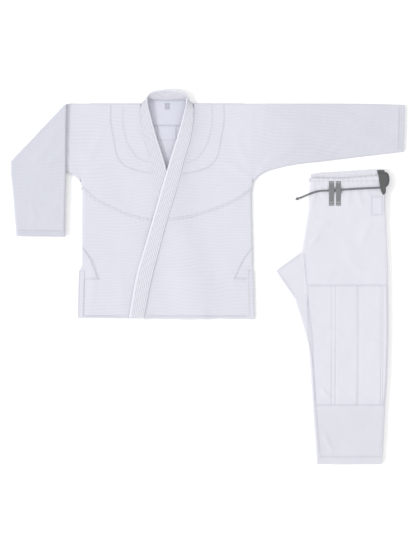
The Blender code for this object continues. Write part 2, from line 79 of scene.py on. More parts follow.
# places that the looks share with the frame
CENTRE_X = -137.5
FOLD_HIGH, FOLD_LOW = np.array((-479.0, 587.0)), np.array((-667.0, 389.0))
KNEE_Y = -233.0
LAPEL = [                       # left lapel, (free edge, seam edge), neck to hem
    ((-77.5, 566.0), (-46.0, 568.0)), ((-88.0, 525.0), (-46.8, 522.0)), ((-105.0, 466.0), (-56.5, 460.0)),
    ((-126.0, 400.0), (-77.0, 392.0)), ((-150.0, 318.0), (-98.0, 307.0)), ((-189.0, 183.0), (-136.0, 183.0)),
    ((-216.0, 91.0), (-160.5, 91.0)), ((-242.0, 0.0), (-187.0, -12.0)), ((-266.0, -139.0), (-213.0, -142.0)),
]
CORD_DIAMETER = 6.5
CORD_ROUTE = [                  # from the channel, round the side loop and over the front to the floor
    (602.0, 351.0, 14.7), (606.5, 350.4, 14.8), (611.0, 345.0, 15.3), (613.4, 335.0, 17.2),
    (613.0, 323.0, 20.6), (610.0, 313.0, 24.4), (604.0, 306.0, 26.9), (594.0, 302.0, 27.1),
    (577.0, 300.0, 27.1), (540.0, 298.5, 27.1), (500.0, 296.5, 27.1), (456.0, 293.5, 27.1),
    (411.0, 291.0, 27.1), (378.0, 289.0, 27.1), (359.0, 284.5, 27.3), (348.0, 280.8, 27.4),
    (340.0, 277.5, 26.2), (334.0, 275.0, 21.0), (329.0, 273.0, 14.5), (323.0, 270.6, 9.0),
    (317.0, 268.3, 6.5), (311.9, 266.4, 5.7),
]


# ---------------------------------------------------------------- geometry helpers

def place(points):
    return (np.asarray(points, float) + SHIFT) * MM


def unplace(points):
    return np.asarray(points, float) / MM - SHIFT


def smoothstep(x):
    x = np.clip(x, 0.0, 1.0)
    return x * x * (3.0 - 2.0 * x)


def bell(x):
    """1 at 0, falling to 0 at 1 and beyond."""
    return smoothstep(1.0 - np.abs(x))


def roll(distance, radius):
    """How far a rounded edge lies below its top, at a distance from the edge."""
    inside = np.clip(1.0 - distance / radius, 0.0, 1.0)
    return radius * (1.0 - np.sqrt(1.0 - inside * inside))


def edged(width, step):
    """Grid lines across a width, close together at both edges. width may be an array."""
    width = np.asarray(width, float)[..., None]
    margin = np.minimum(EDGE_STEPS, width * 0.02 * EDGE_STEPS)
    first = margin[..., -1:]
    t = np.linspace(0.0, 1.0, max(2, int(np.max(width) / step)) + 1)[1:-1]
    return np.concatenate([margin, first + (width - 2.0 * first) * t, (width - margin)[..., ::-1]], axis=-1)


def levels(low, high, step=4.5):
    return low + edged(np.array([high - low]), step)[0]


class Ripple:
    """A smooth random height field: a few sine waves of about one wavelength."""

    def __init__(self, seed, wavelength, squeeze=(1.0, 1.0), waves=9):
        rng = np.random.default_rng(seed)
        angle = rng.uniform(0.0, 2.0 * math.pi, waves)
        length = wavelength * rng.uniform(0.7, 1.5, waves)
        self.kx = np.cos(angle) * 2.0 * math.pi / length * squeeze[0]
        self.ky = np.sin(angle) * 2.0 * math.pi / length * squeeze[1]
        self.phase = rng.uniform(0.0, 2.0 * math.pi, waves)

    def __call__(self, x, y):
        total = sum(np.sin(x * kx + y * ky + phase) for kx, ky, phase in zip(self.kx, self.ky, self.phase))
        return total / math.sqrt(len(self.kx))


def lengths(line):
    """The length along a line at each of its points."""
    steps = np.linalg.norm(np.diff(np.asarray(line, float), axis=0), axis=1)
    return np.concatenate([[0.0], np.cumsum(steps)])


def points_at(line, along, at):
    """Points of a line where its given length along is at."""
    return np.stack([np.interp(at, along, column) for column in line.T], axis=1)


def crease(x, y, line, width, height):
    """A rounded fold along a line, fading out towards both ends."""
    line = np.asarray(line, float)
    starts = lengths(line)
    best, along = np.full(np.shape(x), np.inf), np.zeros(np.shape(x))
    for a, d, start in zip(line, np.diff(line, axis=0), starts):
        size = math.hypot(*d)
        t = np.clip(((x - a[0]) * d[0] + (y - a[1]) * d[1]) / size ** 2, 0.0, 1.0)
        away = np.hypot(x - a[0] - t * d[0], y - a[1] - t * d[1])
        along = np.where(away < best, start + t * size, along)
        best = np.minimum(best, away)
    fade = np.sin(np.clip(along / starts[-1], 0.0, 1.0) * math.pi) ** 0.7
    return height * np.exp(-(best / width) ** 2) * fade


def folds(x, y, lines):
    return 1.5 * sum(crease(x, y, line, width, height) for line, width, height in lines)


def curve_through(points, steps=12):
    """Catmull-Rom curve through a few points of any dimension."""
    p = np.asarray(points, float)
    if len(p) == 2:
        return p
    p = np.vstack([2.0 * p[0] - p[1], p, 2.0 * p[-1] - p[-2]])
    t = np.arange(steps)[:, None] / steps
    runs = [0.5 * (2.0 * b + (c - a) * t + (2.0 * a - 5.0 * b + 4.0 * c - d) * t ** 2
                   + (3.0 * b - a - 3.0 * c + d) * t ** 3) for a, b, c, d in zip(p, p[1:], p[2:], p[3:])]
    return np.vstack(runs + [p[-2:-1]])


def resample(line, step):
    """The same line with points an even distance apart."""
    along = lengths(line)
    at = np.linspace(0.0, along[-1], max(2, round(along[-1] / step) + 1))
    return points_at(np.asarray(line, float), along, at)


def offset_line(line, distance):
    """The line moved sideways in the plane, to its left for a positive distance."""
    along = np.gradient(line[:, :2], axis=0)
    along /= np.maximum(np.linalg.norm(along, axis=1, keepdims=True), 1e-9)
    moved = line.copy()
    moved[:, :2] += np.column_stack([-along[:, 1], along[:, 0]]) * distance
    return moved


def node_spans(node, at):
    """Lowest and highest x of a CAD node on lines of constant y."""
    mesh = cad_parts[node].data
    co = unplace([v.co for v in mesh.vertices])
    p, q = co[np.array([e.vertices for e in mesh.edges])].transpose(1, 0, 2)
    spans = []
    for level in np.clip(at, co[:, 1].min() + 0.01, co[:, 1].max() - 0.01):
        a, b = p[:, 1] - level, q[:, 1] - level
        cut = (a * b <= 0.0) & (np.abs(a - b) > 1e-6)
        hit = p[cut, 0] + (q[cut, 0] - p[cut, 0]) * (a[cut] / (a[cut] - b[cut]))
        spans.append((hit.min(), hit.max()))
    return np.array(spans).T


def node_box(node):
    low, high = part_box(node)
    return unplace(low), unplace(high)


# ---------------------------------------------------------------- mesh making

def make_mesh(name, points, faces, mat, uv=None):
    """One mesh object from millimetre points and an array of quads."""
    faces = np.asarray(faces, np.int32)
    points = np.array(points, float)
    points[:, 2] = np.maximum(points[:, 2], 0.05)
    mesh = bpy.data.meshes.new(name)
    mesh.vertices.add(len(points))
    mesh.vertices.foreach_set("co", place(points).astype(np.float32).ravel())
    mesh.loops.add(faces.size)
    mesh.loops.foreach_set("vertex_index", faces.ravel())
    mesh.polygons.add(len(faces))
    mesh.polygons.foreach_set("loop_start", np.arange(0, faces.size, 4, dtype=np.int32))
    mesh.polygons.foreach_set("loop_total", np.full(len(faces), 4, np.int32))
    mesh.update(calc_edges=True)
    mesh.validate()
    layer = mesh.uv_layers.new(name="UVMap")
    flat = np.asarray(points if uv is None else uv, float)[:, :2] * MM
    index = np.zeros(len(mesh.loops), np.int32)
    mesh.loops.foreach_get("vertex_index", index)
    layer.data.foreach_set("uv", flat[index].astype(np.float32).ravel())
    mesh.polygons.foreach_set("use_smooth", np.full(len(mesh.polygons), True))
    mesh.set_sharp_from_angle(angle=math.radians(50.0))
    mesh.materials.append(mat)
    obj = bpy.data.objects.new(name, mesh)
    bpy.context.scene.collection.objects.link(obj)
    return obj


def grid_faces(ids, flip=False, wrap=False):
    """Quads of a grid of point numbers."""
    if wrap:
        ids = np.concatenate([ids, ids[:, :1]], axis=1)
    quads = np.stack([ids[:-1, :-1], ids[:-1, 1:], ids[1:, 1:], ids[1:, :-1]], axis=-1).reshape(-1, 4)
    return quads[:, ::-1] if flip else quads


def two_skins(name, outer, inner, mat, wrap, sides):
    """Two grids of points, faced outwards and joined by side quads."""
    ids = np.arange(outer.size // 3).reshape(outer.shape[:2])
    faces = [grid_faces(ids, wrap=wrap), grid_faces(ids + ids.size, flip=True, wrap=wrap)]
    points = np.concatenate([outer.reshape(-1, 3), inner.reshape(-1, 3)])
    return make_mesh(name, points, np.concatenate(faces + sides(ids)), mat)


def shell(name, top, thickness, mat):
    """A closed sheet of cloth: a grid of top points and the same grid thickness below it."""
    def sides(ids):
        rim = np.concatenate([ids[0, :-1], ids[:-1, -1], ids[-1, ::-1][:-1], ids[::-1, 0][:-1]])
        after = np.roll(rim, -1)
        return [np.stack([rim, rim + ids.size, after + ids.size, after], axis=-1)]
    return two_skins(name, top, top - (0.0, 0.0, thickness), mat, False, sides)


def tube(name, outer, inner, mat):
    """A sleeve of cloth open at both ends: rings of outer points and rings of inner ones."""
    def sides(ids):
        quads = []
        for ring, order in ((ids[0], -1), (ids[-1], 1)):
            after = np.roll(ring, -1)
            quads.append(np.stack([ring, after, after + ids.size, ring + ids.size], axis=-1)[:, ::order])
        return quads
    return outward(two_skins(name, outer, inner, mat, True, sides))


def solid(name, rings, mat, uv=None):
    """A closed body skinned over rings, with an end point closing each end."""
    rows, columns = rings.shape[:2]
    ids = np.arange(rows * columns).reshape(rows, columns)
    quads = []
    for ring, tip, order in ((ids[0], ids.size, -1), (ids[-1], ids.size + 1, 1)):
        quads += [[tip, ring[i], ring[(i + 1) % columns], ring[(i + 2) % columns]][::order]
                  for i in range(0, columns, 2)]
    def capped(grid):
        return np.vstack([grid.reshape(-1, grid.shape[-1]), grid[0].mean(0), grid[-1].mean(0)])
    faces = np.concatenate([grid_faces(ids, wrap=True), quads])
    return outward(make_mesh(name, capped(rings), faces, mat, None if uv is None else capped(uv)))


def blocks(name, points, mat):
    """One mesh of many eight-cornered blocks."""
    faces = (np.arange(len(points))[:, None, None] * 8 + BLOCK).reshape(-1, 4)
    return make_mesh(name, np.concatenate(points), faces, mat)


def outward(obj):
    """Turns all faces of a closed piece outwards."""
    bm = bmesh.new()
    bm.from_mesh(obj.data)
    bmesh.ops.recalc_face_normals(bm, faces=bm.faces)
    bm.to_mesh(obj.data)
    bm.free()
    return obj


def join(objs, name):
    """Several meshes as one piece."""
    with bpy.context.temp_override(
        active_object=objs[0], selected_objects=objs, selected_editable_objects=objs,
    ):
        bpy.ops.object.join()
    objs[0].name = objs[0].data.name = name
    return objs[0]


def fit(piece, slot, body=None, nodes=(), flat=None, **sheet):
    """Ties a piece to its body and hides its CAD nodes; its material slot and sheet sizes are not used."""
    if body:
        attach(piece, body)
    if nodes:
        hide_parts(*nodes)
    return piece


def hinge(piece):
    """Bakes a piece's placement into its mesh."""
    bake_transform(piece)


# ---------------------------------------------------------------- materials

class Value:
    """An output of a node, which adds, subtracts, multiplies and divides."""

    def __init__(self, nodes, socket):
        self.nodes, self.socket = nodes, socket

    def __add__(self, other):
        return self.nodes.math("ADD", self, other)

    def __sub__(self, other):
        return self.nodes.math("SUBTRACT", self, other)

    def __mul__(self, other):
        return self.nodes.math("MULTIPLY", self, other)

    def __truediv__(self, other):
        return self.nodes.math("DIVIDE", self, other)


class Nodes:
    """Short names for building one material's node tree."""

    def __init__(self, name, roughness, sheen=0.0):
        self.mat = bpy.data.materials.new(name)
        self.mat.use_nodes = True
        self.tree = self.mat.node_tree
        self.shader = self.tree.nodes["Principled BSDF"].inputs
        self.put(self.shader, {"Roughness": roughness, "Specular IOR Level": 0.25, "Sheen Weight": sheen})
        self.uv = self.add("ShaderNodeUVMap")

    def put(self, sockets, values):
        for key, value in values.items():
            if isinstance(value, Value):
                self.tree.links.new(value.socket, sockets[key])
            else:
                sockets[key].default_value = value

    def add(self, kind, inputs=None, output=0, **settings):
        node = self.tree.nodes.new(kind)
        for key, value in settings.items():
            setattr(node, key, value)
        self.put(node.inputs, inputs or {})
        return Value(self, node.outputs[output])

    def math(self, operation, *values):
        return self.add("ShaderNodeMath", dict(enumerate(values)), operation=operation)

    def axes(self, vector):
        return [self.add("ShaderNodeSeparateXYZ", {0: vector}, k) for k in (0, 1)]

    def noise(self, scale, detail=2.0):
        return self.add("ShaderNodeTexNoise", {"Vector": self.uv, "Scale": scale, "Detail": detail})

    def turned(self, degrees):
        angles = (0.0, 0.0, math.radians(degrees))
        return self.axes(self.add("ShaderNodeMapping", {0: self.uv, "Rotation": angles}))

    def wave(self, coordinate, period, shift=0.0):
        """0 to 1 and back once each period of metres."""
        angle = self.math("MULTIPLY_ADD", coordinate, 2.0 * math.pi / period, shift)
        return self.math("MULTIPLY_ADD", self.math("SINE", angle), 0.5, 0.5)

    def mix(self, factor, a, b, blend="MIX"):
        return self.add("ShaderNodeMix", {0: factor, 6: a, 7: b}, 2, data_type="RGBA", blend_type=blend)

    def darker(self, tone, coordinate, start, end, factor):
        """The tone made darker from one place on the sheet to another."""
        share = self.math("MAXIMUM", (coordinate - start) / (end - start), 0.0)
        return self.mix(self.math("MINIMUM", share, 1.0), tone, shade((1.0, 1.0, 1.0), factor), "MULTIPLY")

    def finish(self, colour, height=None, relief=0.0003):
        self.put(self.shader, {"Base Color": colour})
        if height:
            bump = self.add("ShaderNodeBump", {"Strength": 0.6, "Distance": relief, "Height": height})
            self.put(self.shader, {"Normal": bump})
        return self.mat


def shade(colour, factor):
    return tuple(c * factor for c in colour) + (1.0,)


def weave(name, colour, grain=(0.0030, 0.0019), degrees=0.0, band=0.0, dark=0.86, fade=None):
    """Cloth with raised grains in offset rows; band adds the broad soft rows of a pearl weave."""
    long, pitch = grain
    n = Nodes(name, 0.92, 0.15)
    u, v = n.turned(degrees)
    row = v + n.noise(9.0) * (long * 1.6)
    along = n.wave(u + n.math("FLOOR", row / pitch) * (long / 2.0), long)
    grains = n.math("PINGPONG", row / pitch, 0.5) * 2.0 * n.math("MULTIPLY_ADD", along, 0.8, 0.2)
    tone = n.mix(grains, shade(colour, dark), shade(colour, 1.04))
    if band:
        rows = n.wave(v + n.noise(2.6) * 0.110, 0.0108)
        tone = n.mix(n.noise(13.0) * rows * band, tone, shade(colour, 0.70))
    tone = n.mix(n.noise(4.0) * 0.12, tone, shade(colour, 0.9))
    if fade:
        tone = n.darker(tone, n.axes(n.uv)[0], *fade)
    return n.finish(tone, grains + n.wave(row, pitch * 2.0) * 0.15, 0.0005)


def twill(name, colour, fade=None):
    """Cotton drill: fine slanting ribs with a little thread noise."""
    n = Nodes(name, 0.9, 0.1)
    ribs = n.wave(n.turned(63.0)[0] + n.noise(60.0) * 0.0006, 0.0011)
    slubs = n.noise(420.0, 3.0)
    tone = n.mix(ribs, shade(colour, 0.93), shade(colour, 1.03))
    tone = n.mix(slubs * 0.16, tone, shade(colour, 0.84))
    tone = n.mix(n.noise(3.5) * 0.10, tone, shade(colour, 0.88))
    if fade:
        tone = n.darker(tone, n.axes(n.uv)[1], *fade)
    return n.finish(tone, ribs + slubs * 0.5, 0.00018)


def ripstop(name, colour):
    """Collar cover: ribbed, with painted shade in the grooves of its stitched rows away from the edges."""
    n = Nodes(name, 0.9)
    u = n.axes(n.uv)[0]
    ribs = n.wave(n.turned(45.0)[0], 0.0018)
    rows = n.wave(u + n.noise(120.0) * 0.0008, 0.052 / 9.0, -0.5 * math.pi)
    from_middle = n.math("ABSOLUTE", n.math("PINGPONG", u, 0.052) - 0.0225)
    tone = n.mix(ribs, shade(colour, 0.95), shade(colour, 1.03))
    # painted shade: the tone darkens in each groove where a row of stitches sits
    tone = n.mix(rows * n.math("LESS_THAN", from_middle, 0.0215) * 0.42, tone, shade(colour, 0.72))
    tone = n.mix(n.noise(300.0, 3.0) * 0.14, tone, shade(colour, 0.75))
    return n.finish(tone, ribs + n.noise(500.0), 0.0003)


def tape(name, colour, rib=0.0017):
    """Woven tape: ribs across it, chevrons of thread and paler worn flecks."""
    n = Nodes(name, 0.85)
    u, v = n.axes(n.uv)
    ribs = n.wave(v + n.math("PINGPONG", u, 0.0025), rib)
    fleck = n.noise(900.0, 2.0)
    tone = n.mix(ribs, shade(colour, 0.62), shade(colour, 1.25))
    return n.finish(n.mix(fleck * 0.35, tone, shade(colour, 1.7)), ribs + fleck, 0.0004)


def ribbed(name, colour, roughness, rib, tones, turn):
    """Thread or satin: one fine wave in its colour and its surface."""
    n = Nodes(name, roughness)
    fine = n.wave(n.turned(turn)[0] if turn else n.axes(n.uv)[1], rib)
    return n.finish(n.mix(fine, shade(colour, tones[0]), shade(colour, tones[1])), fine, 0.0001)


def thread(name, *colour):
    return ribbed(name + "_thread", colour, 0.7, 0.0007, (0.8, 1.1), 35.0)


PEARL = weave("pearl_weave_cloth", (0.662, 0.667, 0.730), band=0.34)
PEARL_SLEEVE = weave("pearl_weave_sleeve", (0.652, 0.658, 0.724), degrees=9.0, band=0.34,
                     fade=(0.17, 0.32, 0.935))
PEARL_FOREARM = weave("pearl_weave_forearm", (0.608, 0.618, 0.688), degrees=-12.0, band=0.26)
INSIDE = weave("pearl_weave_inside", (0.62, 0.628, 0.70), grain=(0.0024, 0.0016), dark=0.9)
LINING = twill("cotton_lining", (0.60, 0.61, 0.69))
COLLAR = ripstop("collar_ripstop", (0.665, 0.668, 0.725))
DRILL = twill("trouser_drill", (0.636, 0.634, 0.690), fade=(-0.40, -0.47, 0.945))
TRIM = tape("grey_webbing", (0.185, 0.188, 0.198))
# a darker copy of the grey tape for the side loop: painted shade of the loop humped over the cord
TRIM_PAINTED_SHADE = tape("grey_webbing_shaded", (0.098, 0.099, 0.101))
BRAID = tape("grey_braid", (0.150, 0.155, 0.165), 0.0022)
LILAC = thread("contrast", 0.29, 0.28, 0.37)
WHITE_THREAD = thread("white", 0.44, 0.44, 0.52)
COLLAR_THREAD = thread("collar", 0.37, 0.37, 0.43)
TACK_THREAD = thread("tack", 0.52, 0.53, 0.55)
GREY_THREAD = thread("grey", 0.16, 0.16, 0.20)
LABEL = ribbed("blank_label_satin", (0.42, 0.42, 0.50), 0.45, 0.0006, (0.9, 1.05), 0.0)


# ---------------------------------------------------------------- camera, light, floor

CAMERA_HEIGHT = 5.0
SEEN_HEIGHT = 1.87              # metres of floor from the top to the bottom of the picture
LAMPS = (("key", (-2.8, -0.6, 2.2), 16.0, 1.55), ("fill", (1.0, 2.6, 3.0), 50.0, 0.10))


def build_stage():
    """A camera straight above, soft light, and a white floor."""
    scene = bpy.context.scene
    low, high = CAD_BOX
    middle = (low + high) / 2.0
    data = bpy.data.cameras.new("camera")
    data.sensor_width = 36.0
    data.lens = data.sensor_width * CAMERA_HEIGHT / SEEN_HEIGHT
    data.clip_end = 50.0
    camera = bpy.data.objects.new("camera", data)
    camera.location = (middle.x, middle.y + 0.0061, CAMERA_HEIGHT)
    scene.collection.objects.link(camera)
    scene.camera = camera

    world = bpy.data.worlds.new("studio")
    world.use_nodes = True
    background = world.node_tree.nodes["Background"]
    background.inputs[0].default_value = (1.0, 1.0, 1.0, 1.0)
    background.inputs[1].default_value = 1.0
    scene.world = world
    for name, spot, angle, strength in LAMPS:
        lamp = bpy.data.lights.new(name, "SUN")
        lamp.angle = math.radians(angle)
        lamp.energy = strength
        light = bpy.data.objects.new(name, lamp)
        light.location = spot
        light.rotation_euler = (middle - light.location).to_track_quat("-Z", "Y").to_euler()
        scene.collection.objects.link(light)
    scene.view_settings.view_transform = "Standard"

    bpy.ops.mesh.primitive_plane_add(size=30.0, location=(0.0, 0.0, -0.0005))
    floor = bpy.context.object
    floor.name = "floor"
    floor.data.materials.append(Nodes("floor_white", 0.9).finish((0.97, 0.97, 0.97, 1.0)))


# ---------------------------------------------------------------- cord

def braided(name, line, radius, pitch, relief, taper=2, strands=4):
    """A round braid: two sets of strands wind opposite ways over its surface."""
    along = np.gradient(line, axis=0)
    along /= np.linalg.norm(along, axis=1, keepdims=True)
    side = np.cross(along[0], (0.0, 0.0, 1.0))
    across = []
    for d in along:
        side = side - d * side.dot(d)
        side = side / np.linalg.norm(side)
        across.append(side)
    across = np.array(across)
    over = np.cross(along, across)
    turn = np.arange(20) * 2.0 * math.pi / 20
    run = lengths(line)[:, None]
    wind = 2.0 * math.pi * run / pitch
    bumps = np.maximum(np.cos(strands * turn + wind), np.cos(strands * turn - wind))
    size = radius * (1.0 - relief + relief * bumps)
    for i in range(taper):
        share = math.sqrt(1.0 - (1.0 - (i + 0.6) / (taper + 0.6)) ** 2)
        size[i] *= share
        size[-1 - i] *= share
    rings = (line[:, None] + across[:, None] * (np.cos(turn) * size)[..., None]
             + over[:, None] * (np.sin(turn) * size)[..., None])
    return solid(name, rings, BRAID, np.stack(np.broadcast_arrays(turn * radius, run), -1))


def build_cord():
    line = resample(curve_through(CORD_ROUTE, 24), 1.1)
    cord = braided("cord_drawstring", line, CORD_DIAMETER / 2.0, 9.0, 0.13, 1)
    low, high = node_box("drawstring_knot")
    centre = (low + high) / 2.0
    t = np.linspace(0.15, 2.0 * math.pi - 0.35, 90)
    loop = np.stack([np.sin(t) + 2.0 * np.sin(2.0 * t), np.cos(t) - 2.0 * np.cos(2.0 * t),
                     -0.9 * np.sin(3.0 * t)], -1) * 1.12 + centre
    knot = braided("cord_knot", loop, 2.3, 7.0, 0.12)
    tail = curve_through([centre + (-2.0, -1.0, 0.0), centre + (-4.0, -1.8, -0.8),
                          centre + (-7.0, -3.4, -1.8)])
    knot = join([knot, braided("cord_tail", resample(tail, 0.9), 2.5, 8.0, 0.14)], "cord_knot")
    fit(cord, "drawstring_braid", "trousers", ["drawstring"])
    fit(knot, "drawstring_braid", "trousers", ["drawstring_knot"])


# ---------------------------------------------------------------- stitches and seams

STITCHES = {}


def sew(carrier, line, surface, mat=LILAC, spacing=4.0, length=2.7, width=0.75, height=0.42):
    """Keeps a row of raised stitches along a line, to be made into one piece per carrier."""
    line = resample(curve_through(line), spacing)
    for a, b in zip(line[:-1, :2], line[1:, :2]):
        d = (b - a) / np.linalg.norm(b - a)
        side = np.array((-d[1], d[0])) * width / 2.0
        tip = d * length / 2.0
        base = np.array([-tip - side, tip - side, tip + side, side - tip])
        xy = (a + b) / 2.0 + np.concatenate([base, base * 0.62])
        z = surface(xy[:, 0], xy[:, 1]) + np.repeat((-0.3, height), 4)
        STITCHES.setdefault((carrier, mat.name), []).append(np.column_stack([xy, z]))


def make_stitches(carrier, mat=LILAC):
    return blocks("stitches_%s_%s" % (carrier, mat.name.split("_")[0]), STITCHES[carrier, mat.name], mat)


def seam_strip(name, line, surface, width=9.0, height=0.9):
    """A felled seam: a low band with a groove between its two rows of stitching."""
    line = resample(curve_through(line), 3.0)
    half = width / 2.0
    across = np.array((-half, -half + 0.5, -half + 1.4, -1.4, -0.5, 0.5, 1.4, half - 1.4, half - 0.5, half))
    lift = height * np.array((-0.6, 0.55, 1.0, 0.95, 0.45, 0.45, 0.95, 1.0, 0.55, -0.6))
    pucker = 0.16 * np.sin(np.arange(len(line)) * 1.7)[:, None] * np.array((0, 0, 1, 1, 0, 0, -1, -1, 0, 0))
    rings = []
    for d, z in list(zip(across, (lift + pucker).T)) + [(half, -height), (-half, -height)]:
        moved = offset_line(line, d)
        rings.append(np.column_stack([moved[:, :2], surface(moved[:, 0], moved[:, 1]) + z]))
    return solid(name, np.stack(rings, 1), PEARL)


def chest_seam(word, carrier, line, surface):
    """The raised seam at the lower edge of the chest overlay, with a row of stitches on each side."""
    strip = seam_strip("chest_seam_" + word, line, surface)
    for d in (-3.0, 3.0):
        sew(carrier, offset_line(resample(curve_through(line), 4.0), d), lambda x, y: surface(x, y) + 0.9)
    return strip


# ---------------------------------------------------------------- jacket body

SOFT = Ripple(3, 120.0)
FINE = Ripple(8, 42.0, (0.8, 1.2))
FRONT_Z = 10.0
HEM_Y = -142.0
SHOULDER_Y = 587.0
SIDE_LOW_Y = 30.0
ROLL = 7.0
HEM_DROP = 3.6                  # how far a front comes down at its hem, over HEM_REACH
HEM_REACH = 46.0
SIDE_REACH = 38.0
LAPEL_FREE, LAPEL_SEAM = [curve_through(line)[::-1] for line in zip(*LAPEL)]
CHEST_RIGHT = [(-426, 302), (-380, 261), (-326, 234), (-272, 210), (-200, 193), (-142, 185)]
CHEST_LEFT = [(-134, 193.5), (-108, 196), (-54, 205), (-23, 214), (28, 231), (93, 259), (150, 299)]
CHEST_LINES = {1: curve_through(CHEST_RIGHT), -1: curve_through(CHEST_LEFT)}
SHOULDER_OUTER = [(54, 582), (55, 530), (46, 474), (33, 410), (8, 376), (-31, 360), (-66, 352), (-84, 350)]
SHOULDER_INNER = [(13, 580), (14, 526), (4, 470), (-9, 440), (-34, 404), (-64, 389), (-74, 386)]
RIGHT_FOLDS = [
    ([(-428, 330), (-372, 372), (-300, 392)], 13.0, 1.3),
    ([(-430, 350), (-385, 430), (-352, 520)], 16.0, 0.9),
    ([(-420, 290), (-350, 262), (-280, 258)], 12.0, 0.8),
    ([(-400, -120), (-388, -40), (-392, 60)], 14.0, 0.9),
    ([(-300, -130), (-288, -60), (-296, 20)], 17.0, 0.7),
]
LEFT_FOLDS = [
    ([(152, 330), (96, 370), (30, 392)], 13.0, 1.3), ([(154, 352), (112, 430), (82, 520)], 16.0, 0.9),
    ([(146, 284), (84, 250), (20, 244)], 12.0, 0.8), ([(120, 60), (60, 30), (0, 26)], 15.0, 0.7),
]


def mirrored(x):
    return 2.0 * CENTRE_X - x


def free_x(y):
    return np.interp(y, LAPEL_FREE[:, 1], LAPEL_FREE[:, 0])


def seam_x(y):
    return np.interp(y, LAPEL_SEAM[:, 1], LAPEL_SEAM[:, 0])


def left_lapel_z(y):
    """Height of the left lapel's middle: it steps up where it crosses the right one."""
    return 14.6 + 4.2 * smoothstep((y - 40.0) / 150.0)


def right_outer(y):
    return np.interp(y, (-140.0, 15.0, 37.0, 300.0, 314.0, 587.0),
                     (-440.0, -436.0, -428.0, -426.0, -430.7, -430.7))


def left_outer(y):
    return np.interp(y, (-145.0, 42.0, 284.0, 314.0, 587.0), (160.0, 155.0, 150.0, 154.7, 154.7))


def front_relief(x, y, side):
    """Soft unevenness, the overlay's step above the chest line, and the puckers along it."""
    line = CHEST_LINES[side]
    above = y - np.interp(x, line[:, 0], line[:, 1])
    shift = 0.0 if side == 1 else 400.0
    soft = 0.40 * SOFT(x + shift, y) + 0.16 * FINE(x + shift, y)
    pucker = 0.32 * np.exp(-np.abs(above) / 16.0) * np.sin(x * 0.42 + 0.9 * np.sin(x * 0.06))
    return soft + 0.8 * smoothstep(above / 5.0 + 0.5) + pucker


def edge_drop(d, y, keep=1.0):
    """How far a front comes down towards its edges, at a distance from its side."""
    closed = smoothstep((y - SIDE_LOW_Y) / 25.0)
    armhole = smoothstep((y - 316.0) / 18.0)
    near = np.exp(-d / SIDE_REACH)
    side = closed * (1.0 - 0.93 * armhole) * roll(d, ROLL) + (1.0 - closed) * 4.6 * near
    hem = HEM_DROP * np.exp(-np.clip(y - HEM_Y, 0.0, None) / HEM_REACH) * keep * (1.0 - 0.6 * near)
    return np.maximum(side + hem, roll(np.clip(SHOULDER_Y - y, 0.0, None), ROLL))


def right_front_z(x, y):
    z = FRONT_Z + front_relief(x, y, 1) + folds(x, y, RIGHT_FOLDS) - edge_drop(np.abs(x - right_outer(y)), y)
    return np.minimum(z, 10.6 + 0.05 * np.abs(x - mirrored(seam_x(y)))) + 0.7 * (y < HEM_Y + 9.0)


def left_front_z(x, y):
    """The left front: it lies over the right lapel and comes down to the body beyond it."""
    covered = smoothstep((360.0 - y) / 60.0)
    under_free = mirrored(free_x(y))
    over_lapel = bell((x - (mirrored(seam_x(y)) + under_free) / 2.0) / 100.0)
    over_front = FRONT_Z + covered * 2.0 * (1.0 - smoothstep((x - under_free) / 90.0))
    lifted = (left_lapel_z(y) + 0.6 - over_front) * np.exp(-np.clip(x - seam_x(y), 0.0, None) / 24.0)
    z = over_front + covered * 4.7 * over_lapel
    z = z + np.clip(lifted, 0.0, None) * (1.0 - 0.6 * covered * over_lapel)
    keep = 1.0 - 0.75 * covered * smoothstep((under_free + 30.0 - x) / 40.0)
    drop = edge_drop(np.abs(x - left_outer(y)), y, keep)
    return z + front_relief(x, y, -1) + folds(x, y, LEFT_FOLDS) - drop + 0.7 * (y < HEM_Y + 9.0)


def panel(name, ys, low_x, high_x, surface, thickness, mat, step=4.5, soft_edge=True, warp=None):
    """A sheet between two edges, at rows of constant y or of (low, high, step), on a height function."""
    ys = levels(*ys) if isinstance(ys, tuple) else ys
    low_x, high_x = [(edge + 0.0 * ys)[:, None] for edge in (low_x, high_x)]
    xs = low_x + edged((high_x - low_x)[:, 0], step)
    y = ys[:, None] + 0.0 * xs
    if warp is not None:
        y = warp(xs, y)
    z = surface(xs, y)
    if soft_edge:
        away = np.minimum(np.minimum(xs - low_x, high_x - xs), np.minimum(ys - ys[0], ys[-1] - ys)[:, None])
        z = z - roll(away, thickness * 0.6) * 0.7
    return shell(name, np.stack([xs, y, z], -1), thickness, mat)


def hem_wave(x, y):
    """A hem that isn't quite straight."""
    return y + (0.9 * np.sin(x * 0.031) - 0.6 * np.sin(x * 0.083 + 1.0)) * np.exp(-(y - HEM_Y + 2.0) / 40.0)


def neck_rise(x, y, height, width, start, reach):
    """The back and its lining reach up under the collar."""
    return y + height * smoothstep((width - np.abs(x - CENTRE_X)) / 24.0) * smoothstep((y - start) / reach)


def flat_z(height):
    return lambda x, y: height + 0.0 * x


